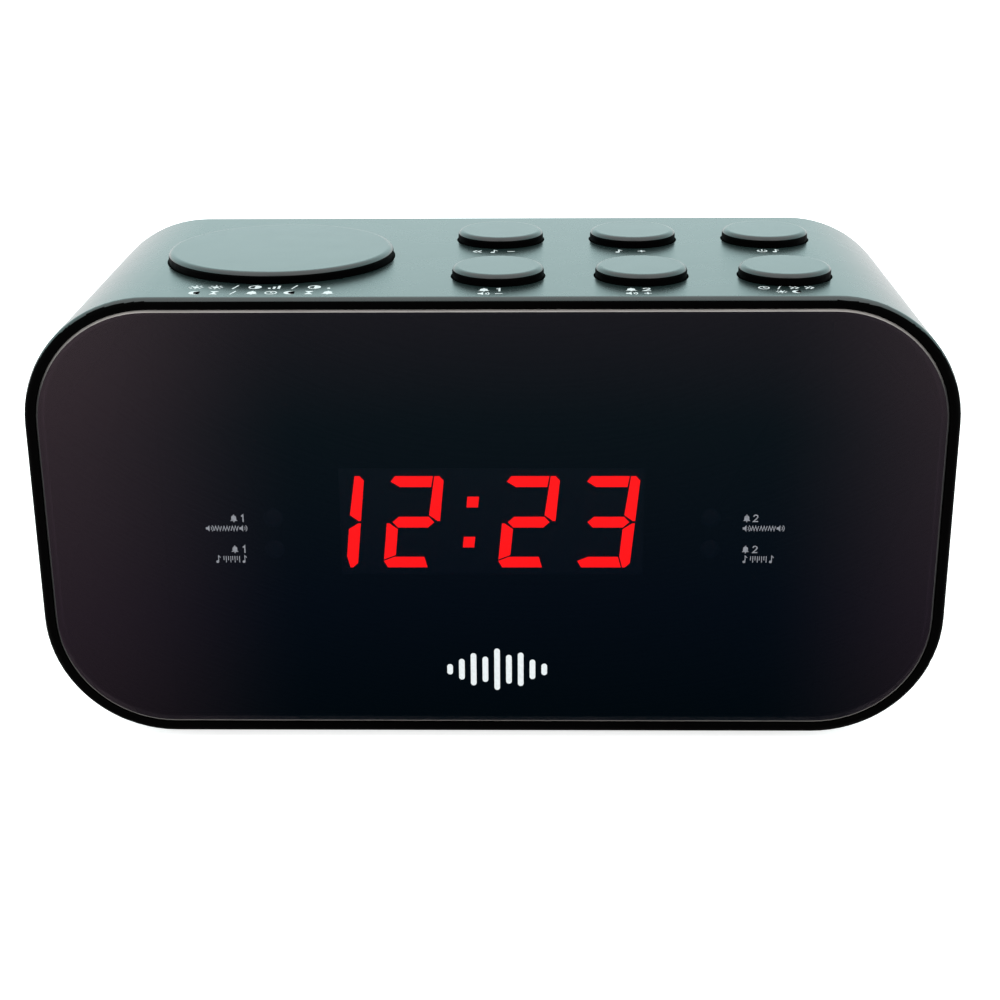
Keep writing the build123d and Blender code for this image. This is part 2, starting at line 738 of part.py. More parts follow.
def make_plunger(x, y):
    """The pin of a tact switch, which the button's stem rests on."""
    top = STEM_BOTTOM
    low = KEY_BOARD_TOP + SWITCH_BODY_H - PLUNGER_SUNK
    pin = post(x, y, PLUNGER_R, low, top)
    return fillet(pin.edges().group_by(Axis.Z)[-1], 0.2)


def make_tact_switches():
    switches = []
    for x, y, _ in BUTTONS.values():
        top = KEY_BOARD_TOP + SWITCH_BODY_H
        half = SWITCH_SIDE / 2
        body = block((x - half, x + half), (y - half, y + half), (KEY_BOARD_TOP, top))
        body = chamfer(body.edges().group_by(Axis.Z)[-1], 0.4)
        sunk = PLUNGER_SUNK + BUTTON_TRAVEL + PLUNGER_CLEAR
        body -= post(x, y, PLUNGER_R + PLUNGER_CLEAR, top - sunk, top)
        for dx in (-1, 1):
            for dy in (-1, 1):
                rivet = post(x + dx * 2.2, y + dy * 2.2, 0.45, top, top + 0.2)
                body += rivet
        switches.append(body)
    return joined(switches)


def key_board_outline():
    x_low, x_high = KEY_BOARD_X
    d_low, d_high = KEY_BOARD_DEPTH
    board = RectangleRounded(x_high - x_low, d_high - d_low, 3)
    return Pos((x_low + x_high) / 2, y_at((d_low + d_high) / 2)) * board


def make_key_board():
    board = key_board_outline()
    for x, y in KEY_BOSSES:
        board -= Pos(x, y) * Circle(SCREW_R + 0.2)
    return along_z(board, KEY_BOARD_BOTTOM, KEY_BOARD_TOP)


def make_key_frame():
    """Guide plate for the button stems, with a collar round each boss down to the board."""
    plate_bottom = KEY_FRAME_TOP - KEY_FRAME_T
    plate = key_board_outline()
    for x, y, _ in BUTTONS.values():
        plate -= Pos(x, y) * Circle(STEM_R + STEM_GUIDE_GAP)
    frame = along_z(plate, plate_bottom, KEY_FRAME_TOP)
    for x, y in KEY_BOSSES:
        frame += post(x, y, KEY_COLLAR_R, KEY_BOARD_TOP, KEY_FRAME_TOP)
    for x, y in KEY_BOSSES:
        frame -= post(x, y, KEY_BOSS_R + KEY_BOSS_CLEAR, KEY_BOARD_TOP, KEY_FRAME_TOP)
    return frame


def make_key_board_screws():
    return joined(screw_along_z(x, y, KEY_BOARD_BOTTOM, 7.5, 1) for x, y in KEY_BOSSES)


# ---- battery bay -------------------------------------------------------------------------
def cell_places():
    """Centre depth of each cell, and the way its positive end points."""
    middle = sum(BAY_DEPTH) / 2
    return [(middle - CELL_R - 0.25, 1), (middle + CELL_R + 0.25, -1)]


def cell_span(way):
    """The cell's low and high X. Its flat end leaves room for the spring."""
    spring = CONTACT_T + 2.4
    return (BAY_X[0] + spring, BAY_X[0] + spring + CELL_L - CELL_NUB_H) if way > 0 else (
        BAY_X[1] - spring - CELL_L + CELL_NUB_H,
        BAY_X[1] - spring,
    )


def make_battery_cells():
    cells = []
    for depth, way in cell_places():
        low, high = cell_span(way)
        section = Pos(y_at(depth), CELL_Z)
        cell = along_x(section * Circle(CELL_R), low, high)
        cell = fillet(cell.edges().filter_by(GeomType.CIRCLE), 0.5)
        nub = (high, high + CELL_NUB_H) if way > 0 else (low - CELL_NUB_H, low)
        cells.append(cell + along_x(section * Circle(CELL_NUB_R), *nub))
    return joined(cells)


def make_battery_contacts():
    """At each cell's flat end a spring on a plate, and at its other end a plate."""
    plate_zs = (CELL_Z - 4.5, BAY_ROOF_Z - BAY_WALL)
    contacts = []
    for depth, way in cell_places():
        ys = (y_at(depth) - 4.6, y_at(depth) + 4.6)
        low_plate = block((BAY_X[0], BAY_X[0] + CONTACT_T), ys, plate_zs)
        high_plate = block((BAY_X[1] - CONTACT_T, BAY_X[1]), ys, plate_zs)
        start = BAY_X[0] + CONTACT_T if way > 0 else BAY_X[1] - CONTACT_T
        for turn in range(SPRING_TURNS):
            ring_x = start + way * SPRING_WIRE_R * (0.8 + 1.3 * turn)
            ring = Torus(SPRING_R - 0.25 * turn, SPRING_WIRE_R)
            ring = Pos(ring_x, y_at(depth), CELL_Z) * Rot(0, 90, 0) * ring
            if way > 0:
                low_plate += ring
            else:
                high_plate += ring
        contacts += [low_plate, high_plate]
    return joined(contacts)


DOOR_PIN_X_REACH = 2.2
DOOR_PIN_DEPTH = DOOR_DEPTH[0] + 1.2
DOOR_PIN_Z = STAND + 1.1


def door_hinge_room():
    """Pockets for the door's two hinge pins, and the swept room of its front edge."""
    low = DOOR_X[0] - DOOR_PIN_X_REACH - DOOR_GAP
    high = DOOR_X[1] + DOOR_PIN_X_REACH + DOOR_GAP
    centre = Pos(y_at(DOOR_PIN_DEPTH), DOOR_PIN_Z)
    pins = along_x(centre * Circle(DOOR_PIN_R + DOOR_PIN_GAP), low, high)
    sweep = along_x(
        centre * Circle(hypot(1.2, 1.1) + DOOR_GAP), DOOR_X[0] - DOOR_GAP, DOOR_X[1] + DOOR_GAP
    )
    return pins + sweep


def make_battery_door():
    """A flush lid with hinge pins at its front edge, a latch tongue and a finger notch."""
    ys = (y_at(DOOR_DEPTH[0]), y_at(DOOR_DEPTH[1]))
    door = block(DOOR_X, ys, (STAND, STAND + DOOR_T))
    door = fillet(door.edges().filter_by(Axis.Z), 0.8)
    pin = Pos(y_at(DOOR_PIN_DEPTH), DOOR_PIN_Z) * Circle(DOOR_PIN_R)
    door += along_x(pin, DOOR_X[0] - DOOR_PIN_X_REACH, DOOR_X[0] + 1)
    door += along_x(pin, DOOR_X[1] - 1, DOOR_X[1] + DOOR_PIN_X_REACH)
    middle = sum(DOOR_X) / 2
    notch_y = y_at(DOOR_DEPTH[1] - 2.2)
    notch = SlotOverall(14, 3.0)
    door -= along_z(Pos(middle, notch_y) * notch, STAND, STAND + 0.9)
    tongue_ys = (y_at(BAY_DEPTH[1] - 1.5), y_at(BAY_DEPTH[1] - 0.7))
    door += block((middle - 3, middle + 3), tongue_ys, (STAND + DOOR_T, STAND + DOOR_T + 3.0))
    for i in range(5):
        y = y_at(DOOR_DEPTH[1] - 6.5 - 1.8 * i)
        door -= block((middle - 5, middle + 5), (y - 0.4, y + 0.4), (STAND, STAND + 0.4))
    return door


# ---- feet, rear cover and gland ----------------------------------------------------------
def make_rubber_feet():
    feet = []
    for x, y in FEET:
        foot = post(x, y, FOOT_R, 0, STAND + FOOT_POCKET)
        feet.append(fillet(foot.edges().group_by(Axis.Z)[0], 0.5))
    return joined(feet)


def grille_holes():
    """Sound holes on rings round the speaker's centre."""
    holes = [Pos(SPEAKER_X, SPEAKER_Z) * Circle(GRILLE_HOLE_R)]
    for ring in range(1, int(GRILLE_R / GRILLE_PITCH) + 1):
        count = 6 * ring
        for i in range(count):
            angle = 2 * pi * i / count
            x = SPEAKER_X + ring * GRILLE_PITCH * cos(angle)
            z = SPEAKER_Z + ring * GRILLE_PITCH * sin(angle)
            holes.append(Pos(x, z) * Circle(GRILLE_HOLE_R))
    return holes


def vent_slots():
    return [Pos(-50.0 + 4.4 * i, 47.0) * SlotOverall(18, 2.0, rotation=90) for i in range(10)]


def make_rear_cover():
    inset = WALL + COVER_GAP
    plate = outline(inset)
    for hole in grille_holes() + vent_slots():
        plate -= hole
    plate -= Pos(GLAND_X, GLAND_Z) * Circle(GLAND_BODY_R + 0.05)
    cover = along_y(plate, COVER_IN, COVER_OUT)
    skirt = outline(inset) - outline(inset + SKIRT_T)
    cover += along_y(skirt, COVER_IN - SKIRT_LENGTH, COVER_IN)
    speaker_ring = Circle(SPEAKER_R + 1.6) - Circle(SPEAKER_R + 0.3)
    cover += along_y(Pos(SPEAKER_X, SPEAKER_Z) * speaker_ring, COVER_IN - 2.2, COVER_IN)
    for x, z in COLUMNS:
        cover -= bar(x, z, COLUMN_R + 0.5, COVER_IN - SKIRT_LENGTH, COVER_IN)
        cover -= bar(x, z, SCREW_R + 0.25, COVER_IN, COVER_OUT)
        cover -= bar(x, z, SCREW_HEAD_R + 0.3, COVER_OUT - 1.1, COVER_OUT)
    return cover


def make_rear_cover_screws():
    return joined(screw_along_y(x, z, COVER_OUT - 1.1, 10.5) for x, z in COLUMNS)


def make_cord_gland():
    """A snap-in bush: outer collar, body through the cover, barbed tail and a straight bore."""
    collar = bar(GLAND_X, GLAND_Z, GLAND_COLLAR_R, COVER_OUT, COVER_OUT + GLAND_COLLAR_T)
    collar = fillet(collar.edges().group_by(Axis.Y)[-1], 0.8)
    body = bar(GLAND_X, GLAND_Z, GLAND_BODY_R, COVER_IN - GLAND_TAIL, COVER_OUT)
    barb = bar(GLAND_X, GLAND_Z, GLAND_BODY_R + 0.7, COVER_IN - 1.5, COVER_IN - 0.1)
    barb = chamfer(barb.edges().group_by(Axis.Y)[0], 0.6)
    bore = bar(GLAND_X, GLAND_Z, GLAND_BORE_R, COVER_IN - GLAND_TAIL, COVER_OUT + GLAND_COLLAR_T)
    return collar + body + barb - bore


# ---- speaker: every profile is radius against distance behind the cover's inner face ------
def spun(*points):
    """A solid of revolution on the speaker's axis. Each point is (radius, distance)."""
    face = make_face(Polyline(*[(r, -d) for r, d in points], close=True))
    return Pos(SPEAKER_X, y_at(COVER_IN), SPEAKER_Z) * revolve(face, Axis.Y)


FRAME_FLANGE_D = GASKET_T + 1.0
BASKET_FLOOR_D = 8.5
BASKET_T = 0.8
BASKET_FLOOR_R = 14.5
YOKE_FACE_D = BASKET_FLOOR_D + BASKET_T
MAGNET_R = 13.0
MAGNET_T = 4.0
YOKE_T = 2.0
POLE_R = 5.0
CONE_T = 0.5


def make_speaker_gasket():
    return spun((SPEAKER_R, 0), (SPEAKER_R, GASKET_T), (22.4, GASKET_T), (22.4, 0))


def make_speaker_frame():
    """A pressed steel basket: flange, sloping wall with four windows, and floor."""
    frame = spun(
        (SPEAKER_R, GASKET_T),
        (SPEAKER_R, FRAME_FLANGE_D),
        (22.0, FRAME_FLANGE_D),
        (BASKET_FLOOR_R, YOKE_FACE_D),
        (POLE_R + 2.6, YOKE_FACE_D),
        (POLE_R + 2.6, BASKET_FLOOR_D),
        (BASKET_FLOOR_R - 0.5, BASKET_FLOOR_D),
        (21.0, GASKET_T + 0.5),
        (21.0, GASKET_T),
    )
    window_y = y_at(COVER_IN - 5.4)
    for turn in range(4):
        reach = Rot(0, 45 + 90 * turn, 0) * Pos(18.0, 0, 0) * Box(9.0, 4.0, 11.0)
        frame -= Pos(SPEAKER_X, window_y, SPEAKER_Z) * reach
    return frame


def make_speaker_cone():
    """Paper cone with a rolled edge glued to the flange and a neck for the voice coil."""
    edge = GASKET_T
    return spun(
        (22.3, edge),
        (19.8, edge),
        (18.6, edge + 1.3),
        (6.2, YOKE_FACE_D - 2.2),
        (6.2, YOKE_FACE_D + 1.6),
        (5.7, YOKE_FACE_D + 1.6),
        (5.7, YOKE_FACE_D - 2.6),
        (18.3, edge + 0.8),
        (19.5, edge - 0.45),
        (22.3, edge - 0.45),
    )


def make_speaker_dust_cap():
    face_d = YOKE_FACE_D - 4.4
    return spun(
        (0, face_d - 1.0),
        (4.0, face_d - 0.6),
        (7.4, face_d + 0.6),
        (7.4, face_d + 1.0),
        (3.9, face_d - 0.2),
        (0, face_d - 0.6),
    )


def make_speaker_magnet():
    return spun(
        (MAGNET_R, YOKE_FACE_D + 1.2),
        (MAGNET_R, YOKE_FACE_D + 1.2 + MAGNET_T),
        (7.0, YOKE_FACE_D + 1.2 + MAGNET_T),
        (7.0, YOKE_FACE_D + 1.2),
    )


def make_speaker_yoke():
    """Steel of the magnetic circuit: front plate, and back plate with the pole."""
    face = YOKE_FACE_D
    back = face + 1.2 + MAGNET_T
    front_plate = spun((12.0, face), (12.0, face + 1.2), (6.5, face + 1.2), (6.5, face))
    back_plate = spun(
        (0, face),
        (POLE_R, face),
        (POLE_R, back),
        (12.5, back),
        (12.5, back + YOKE_T),
        (0, back + YOKE_T),
    )
    return joined([front_plate, back_plate])


TERMINAL_D = (FRAME_FLANGE_D, FRAME_FLANGE_D + 5.0)
TERMINAL_Z = SPEAKER_Z - 24.2
TERMINAL_T = 1.0
LUG_X = 3.5
LUG_T = 0.4


def make_speaker_terminals():
    """A fibre strip standing on the basket's flange, with two solder lugs under it."""
    near, far = (y_at(COVER_IN - d) for d in TERMINAL_D)
    strip = block((SPEAKER_X - 6, SPEAKER_X + 6), (far, near), (TERMINAL_Z, TERMINAL_Z + TERMINAL_T))
    parts = [strip]
    for x in (SPEAKER_X - LUG_X, SPEAKER_X + LUG_X):
        lug_zs = (TERMINAL_Z - LUG_T, TERMINAL_Z)
        parts.append(block((x - 1, x + 1), (far - 1.5, near - 0.5), lug_zs))
    return joined(parts)


# ---- transformer -------------------------------------------------------------------------
def transformer_screw_xs():
    return (TRANSFORMER_X - BRACKET_EAR_X, TRANSFORMER_X + BRACKET_EAR_X)


def centred_block(x, y, z, size_x, size_y, size_z):
    return Pos(x, y, z) * Box(size_x, size_y, size_z)


CORE_Z = TRANSFORMER_BASE_Z + BRACKET_T + CORE_H / 2
WINDOW_W = (CORE_W - CORE_LEG) / 2 - CORE_YOKE
WINDOW_H = CORE_H - 2 * CORE_YOKE


def make_transformer_core():
    core = centred_block(TRANSFORMER_X, TRANSFORMER_Y, CORE_Z, CORE_W, CORE_STACK, CORE_H)
    for side in (-1, 1):
        x = TRANSFORMER_X + side * (CORE_LEG + WINDOW_W) / 2
        core -= centred_block(x, TRANSFORMER_Y, CORE_Z, WINDOW_W, CORE_STACK, WINDOW_H)
    return core


def bobbin_tube_hole():
    leg, stack = CORE_LEG + 2 * BOBBIN_GAP, CORE_STACK + 2 * BOBBIN_GAP
    return centred_block(TRANSFORMER_X, TRANSFORMER_Y, CORE_Z, leg, stack, CORE_H)


def make_transformer_bobbin():
    """A square tube round the core's middle leg with a flange at each end and solder pins."""
    width = CORE_LEG + 2 * WINDOW_W - 2 * BOBBIN_GAP
    height = WINDOW_H - 2 * BOBBIN_GAP
    tube_w, tube_d = CORE_LEG + 2 * BOBBIN_T, CORE_STACK + 2 * BOBBIN_T
    bobbin = centred_block(TRANSFORMER_X, TRANSFORMER_Y, CORE_Z, tube_w, tube_d, height)
    for side in (-1, 1):
        z = CORE_Z + side * (height - BOBBIN_T) / 2
        bobbin += centred_block(TRANSFORMER_X, TRANSFORMER_Y, z, width, BOBBIN_DEPTH, BOBBIN_T)
    return bobbin - bobbin_tube_hole()


def make_transformer_windings():
    """Wound copper under yellow tape, between the bobbin's flanges."""
    height = WINDOW_H - 2 * BOBBIN_GAP - 2 * BOBBIN_T
    width = CORE_LEG + 2 * WINDOW_W - 4 * BOBBIN_GAP
    winding = centred_block(TRANSFORMER_X, TRANSFORMER_Y, CORE_Z, width, BOBBIN_DEPTH - 1.6, height)
    winding = fillet(winding.edges().filter_by(Axis.Z), 3.0)
    tube_w, tube_d = CORE_LEG + 2 * BOBBIN_T, CORE_STACK + 2 * BOBBIN_T
    return winding - centred_block(TRANSFORMER_X, TRANSFORMER_Y, CORE_Z, tube_w, tube_d, height)


def make_transformer_bracket():
    """A steel strap over the core, with an ear at each side."""
    half_w = CORE_W / 2
    top = CORE_Z + CORE_H / 2
    base = TRANSFORMER_BASE_Z
    ear = BRACKET_EAR_X + 3.0
    points = [
        (-ear, base), (-half_w, base), (-half_w, top), (half_w, top), (half_w, base), (ear, base),
        (ear, base + BRACKET_T), (half_w + BRACKET_T, base + BRACKET_T),
        (half_w + BRACKET_T, top + BRACKET_T), (-half_w - BRACKET_T, top + BRACKET_T),
        (-half_w - BRACKET_T, base + BRACKET_T), (-ear, base + BRACKET_T),
    ]
    strap = Polygon(*[(TRANSFORMER_X + x, z) for x, z in points], align=None)
    middle = TRANSFORMER_Y - FRONT_Y
    bracket = along_y(strap, middle - BRACKET_DEPTH / 2, middle + BRACKET_DEPTH / 2)
    for x in transformer_screw_xs():
        bracket -= post(x, TRANSFORMER_Y, SCREW_R + 0.2, base, base + BRACKET_T)
    return bracket


def make_transformer_screws():
    head_z = TRANSFORMER_BASE_Z + BRACKET_T
    return joined(screw_along_z(x, TRANSFORMER_Y, head_z, 4.5, -1) for x in transformer_screw_xs())


# ---- wiring held inside ------------------------------------------------------------------
WIRE_R = 0.65
RIBBON_W = 7.0
RIBBON_T = 0.7


def wire(points, bend):
    """An insulated wire along straight runs with round bends."""
    path = FilletPolyline(*points, radius=bend)
    start = Plane(origin=path @ 0, z_dir=path % 0)
    return sweep(start * Circle(WIRE_R), path=path)


def speaker_wire(side):
    """From a speaker lug out past the end of the battery bay, and up to the speaker header."""
    lug_x = SPEAKER_X + side * LUG_X
    lug_y = y_at(COVER_IN - TERMINAL_D[1]) - 0.8
    lug_z = TERMINAL_Z - LUG_T - WIRE_R
    x, z, _ = HEADERS["speaker"]
    end_x, end_z = x + side * 1.2, z + side * 0.9
    return wire(
        [
            (lug_x, lug_y, lug_z),
            (lug_x + 8.0, lug_y - 1.5 + side, lug_z - 0.4),
            (53.5, y_at(43.5 + side), 15.0 + side),
            (52.5, y_at(30.0 + side), 22.0 + side),
            (end_x, y_at(24.0), end_z),
            (end_x, y_at(MAIN_BOARD_BACK + 1.4), end_z),
        ],
        3.0,
    )


def supply_wire(index):
    """From the top of the transformer's bobbin over to the supply header, in nested arches."""
    x, z, _ = HEADERS["supply"]
    start_x = TRANSFORMER_X - 11.5 + 2.0 * index
    end_x = x - (index - 1) * 2.0
    start_z = CORE_Z + WINDOW_H / 2 - BOBBIN_GAP
    arch_z = start_z + 5.0 + 1.6 * index
    arch_y = y_at(23.5)
    return wire(
        [
            (start_x, arch_y, start_z),
            (start_x, arch_y, arch_z),
            (end_x, arch_y, arch_z),
            (end_x, arch_y, z),
            (end_x, y_at(MAIN_BOARD_BACK + 1.4), z),
        ],
        1.2,
    )


def make_internal_wires():
    return joined([speaker_wire(side) for side in (-1, 1)] + [supply_wire(i) for i in range(3)])


def make_key_ribbon():
    """A flat cable from the key board's underside down to its header on the main board."""
    x, z, _ = HEADERS["key"]
    top = KEY_BOARD_BOTTOM
    path = FilletPolyline(
        (y_at(MAIN_BOARD_BACK + 1.4), z),
        (y_at(MAIN_BOARD_BACK + 9.0), z),
        (y_at(MAIN_BOARD_BACK + 9.0), top),
        radius=2.0,
    )
    section = trace(path, line_width=RIBBON_T)
    return along_x(section, x - RIBBON_W / 2, x + RIBBON_W / 2)


# ---- everything, by node name ------------------------------------------------------------
def all_nodes():
    nodes = {
        "cabinet_shell": make_cabinet_shell(),
        "rear_cover": make_rear_cover(),
        "rear_cover_screws": make_rear_cover_screws(),
        "rubber_feet": make_rubber_feet(),
        "front_lens": make_front_lens(),
        "lens_mask": make_lens_mask(),
        "alarm_indicator_leds": make_indicator_leds(),
        "display_module": make_display_module(),
        "display_segments_lit": joined(segment_plates(segment_sketches()[0])),
        "display_segments_dark": joined(segment_plates(segment_sketches()[1])),
        "display_pins": make_display_pins(),
        "main_board": make_main_board(),
        "main_board_screws": make_main_board_screws(),
        "integrated_circuits": make_integrated_circuits(),
        "chip_leads": make_chip_leads(),
        "electrolytic_capacitors": make_electrolytic_capacitors(),
        "ceramic_capacitors": make_ceramic_capacitors(),
        "resistors": make_resistors(),
        "rectifier_diodes": make_rectifier_diodes(),
        "coil_and_crystal_cans": make_metal_cans(),
        "board_headers": make_board_headers(),
        "ferrite_rod": make_ferrite_rod(),
        "antenna_coil": make_antenna_coil(),
        "rod_holders": make_rod_holders(),
        "key_board": make_key_board(),
        "key_frame": make_key_frame(),
        "key_board_screws": make_key_board_screws(),
        "tact_switches": make_tact_switches(),
        "battery_cells": make_battery_cells(),
        "battery_contacts": make_battery_contacts(),
        "battery_door": make_battery_door(),
        "cord_gland": make_cord_gland(),
        "speaker_gasket": make_speaker_gasket(),
        "speaker_frame": make_speaker_frame(),
        "speaker_cone": make_speaker_cone(),
        "speaker_dust_cap": make_speaker_dust_cap(),
        "speaker_magnet": make_speaker_magnet(),
        "speaker_yoke": make_speaker_yoke(),
        "speaker_terminals": make_speaker_terminals(),
        "transformer_core": make_transformer_core(),
        "transformer_bobbin": make_transformer_bobbin(),
        "transformer_windings": make_transformer_windings(),
        "transformer_bracket": make_transformer_bracket(),
        "transformer_screws": make_transformer_screws(),
        "internal_wires": make_internal_wires(),
        "key_ribbon": make_key_ribbon(),
    }
    for name, (x, y, radius) in BUTTONS.items():
        nodes[f"button_{name}"] = make_button(x, y, radius)
        nodes[f"plunger_{name}"] = make_plunger(x, y)
    return nodes


def main():
    os.makedirs("parts", exist_ok=True)
    for name, shape in all_nodes().items():
        export_step(shape, f"parts/{name}.step")


main()
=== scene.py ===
"""Looks for a two-alarm clock radio: camera, studio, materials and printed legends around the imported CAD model."""
import math

import bmesh
import bpy
from mathutils import Matrix, Vector


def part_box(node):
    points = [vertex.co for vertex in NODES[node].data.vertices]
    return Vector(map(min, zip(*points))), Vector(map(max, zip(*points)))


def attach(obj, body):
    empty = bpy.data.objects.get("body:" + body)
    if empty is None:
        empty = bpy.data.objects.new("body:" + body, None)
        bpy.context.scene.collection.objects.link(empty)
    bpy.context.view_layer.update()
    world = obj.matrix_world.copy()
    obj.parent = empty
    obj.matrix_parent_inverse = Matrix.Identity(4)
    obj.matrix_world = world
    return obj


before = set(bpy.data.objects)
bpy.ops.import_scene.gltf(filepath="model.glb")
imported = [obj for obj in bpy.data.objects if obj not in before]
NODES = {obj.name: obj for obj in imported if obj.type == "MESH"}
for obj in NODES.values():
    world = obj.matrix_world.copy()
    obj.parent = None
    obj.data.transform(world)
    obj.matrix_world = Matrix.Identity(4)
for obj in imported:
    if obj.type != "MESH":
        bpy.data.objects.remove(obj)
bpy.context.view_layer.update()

MM = 0.001

# ---------------------------------------------------------------- camera

# The camera looks down at the front of the radio from a little right of its middle.
CAMERA_TARGET = Vector((1.307, -27.6, 40.69)) * MM
CAMERA_DISTANCE = 275.96 * MM
CAMERA_PITCH = 0.3584864
CAMERA_YAW = -0.0186708
CAMERA_ROLL = -0.0066312
CAMERA_LENS = 65.237


def make_camera():
    forward = Vector(
        (
            math.sin(CAMERA_YAW) * math.cos(CAMERA_PITCH),
            math.cos(CAMERA_YAW) * math.cos(CAMERA_PITCH),
            -math.sin(CAMERA_PITCH),
        )
    )
    level_right = Vector((math.cos(CAMERA_YAW), -math.sin(CAMERA_YAW), 0))
    level_up = level_right.cross(forward)
    right = math.cos(CAMERA_ROLL) * level_right + math.sin(CAMERA_ROLL) * level_up
    up = -math.sin(CAMERA_ROLL) * level_right + math.cos(CAMERA_ROLL) * level_up
    data = bpy.data.cameras.new("camera")
    data.lens = CAMERA_LENS
    data.sensor_width = 36
    data.clip_start = 0.01
    camera = bpy.data.objects.new("camera", data)
    turn = Matrix((right, up, -forward)).transposed().to_4x4()
    camera.matrix_world = Matrix.Translation(CAMERA_TARGET - forward * CAMERA_DISTANCE) @ turn
    bpy.context.scene.collection.objects.link(camera)
    bpy.context.scene.camera = camera


# ---------------------------------------------------------------- node helpers


class Tree:
    """A small wrapper that adds and links shader nodes."""

    def __init__(self, tree):
        self.tree = tree
        tree.nodes.clear()

    def add(self, kind, inputs=None, **settings):
        node = self.tree.nodes.new(kind)
        for key, value in settings.items():
            setattr(node, key, value)
        for key, value in (inputs or {}).items():
            self.put(node.inputs[key], value)
        return node

    def put(self, socket, value):
        """Links a node's output to a socket, or sets the socket to a plain value."""
        if isinstance(value, bpy.types.NodeSocket):
            self.tree.links.new(value, socket)
        else:
            socket.default_value = value

    def math(self, operation, a, b=0.0):
        node = self.add("ShaderNodeMath", operation=operation)
        for socket, value in zip(node.inputs, (a, b)):
            self.put(socket, value)
        return node.outputs[0]

    def remap(self, value, low, high, to_low=0.0, to_high=1.0, smooth=False):
        node = self.add("ShaderNodeMapRange", interpolation_type="SMOOTHSTEP" if smooth else "LINEAR")
        for socket, v in zip(node.inputs, (value, low, high, to_low, to_high)):
            self.put(socket, v)
        return node.outputs[0]

    def mix(self, factor, a, b, blend="MIX"):
        node = self.add("ShaderNodeMix", data_type="RGBA", blend_type=blend)
        colours = [s for s in node.inputs if s.type == "RGBA"]
        self.put(node.inputs[0], factor)
        self.put(colours[0], a)
        self.put(colours[1], b)
        return [s for s in node.outputs if s.type == "RGBA"][0]

    def ramp(self, value, stops, interpolation="LINEAR"):
        """A colour for each value, from (value, colour) stops in rising order."""
        node = self.add("ShaderNodeValToRGB", {"Fac": value})
        ramp = node.color_ramp
        ramp.interpolation = interpolation
        while len(ramp.elements) < len(stops):
            ramp.elements.new(0.5)
        for element, (position, colour) in zip(ramp.elements, stops):
            element.position = position
            element.color = colour
        return node.outputs["Color"]

    def noise(self, coords, size, detail=3.0, rough=0.55):
        """0 to 1 clouds of about the given size."""
        node = self.add("ShaderNodeTexNoise", {"Scale": 1 / size, "Detail": detail, "Roughness": rough})
        self.put(node.inputs["Vector"], coords)
        return node.outputs[0]

    def stretch(self, coords, scale):
        node = self.add("ShaderNodeMapping", {"Scale": scale})
        self.put(node.inputs["Vector"], coords)
        return node.outputs[0]

    def cells(self, coords, size):
        """The distance from the middle of the nearest cell, in cell sizes."""
        node = self.add("ShaderNodeTexVoronoi", {"Scale": 1 / size}, feature="F1")
        self.put(node.inputs["Vector"], coords)
        return node.outputs["Distance"]

    def bump(self, height, depth, strength=1.0, normal=None):
        node = self.add("ShaderNodeBump", {"Strength": strength, "Distance": depth, "Height": height})
        if normal is not None:
            self.put(node.inputs["Normal"], normal)
        return node.outputs[0]


def grey(value):
    return (value, value, value, 1)


def rgb(*colour):
    return (*colour, 1)


def new_material(name):
    material = bpy.data.materials.new("look_" + name)
    material.use_nodes = True
    tree = Tree(material.node_tree)
    shader = tree.add("ShaderNodeBsdfPrincipled")
    tree.add("ShaderNodeOutputMaterial", {"Surface": shader.outputs[0]})
    coords = tree.add("ShaderNodeTexCoord").outputs["Object"]
    return material, tree, shader, coords


def solid(
    name,
    colour,
    other=None,
    patch=6 * MM,
    rough=(0.35, 0.45),
    grain=0.3 * MM,
    depth=0.01 * MM,
    metallic=0.0,
    ior=1.5,
):
    """Moulded, painted or bare stuff: two close colours in soft patches, uneven roughness and a fine grain."""
    material, tree, shader, coords = new_material(name)
    other = other or tuple(c * 0.8 for c in colour)
    patches = tree.remap(tree.noise(coords, patch, 4.0), 0.35, 0.65, smooth=True)
    tree.put(shader.inputs["Base Color"], tree.mix(patches, rgb(*colour), rgb(*other)))
    tree.put(shader.inputs["Roughness"], tree.remap(tree.noise(coords, grain * 6, 2.0), 0.3, 0.7, *rough))
    tree.put(shader.inputs["Normal"], tree.bump(tree.noise(coords, grain, 2.0), depth))
    shader.inputs["Metallic"].default_value = metallic
    shader.inputs["IOR"].default_value = ior
    return material


# ---------------------------------------------------------------- studio


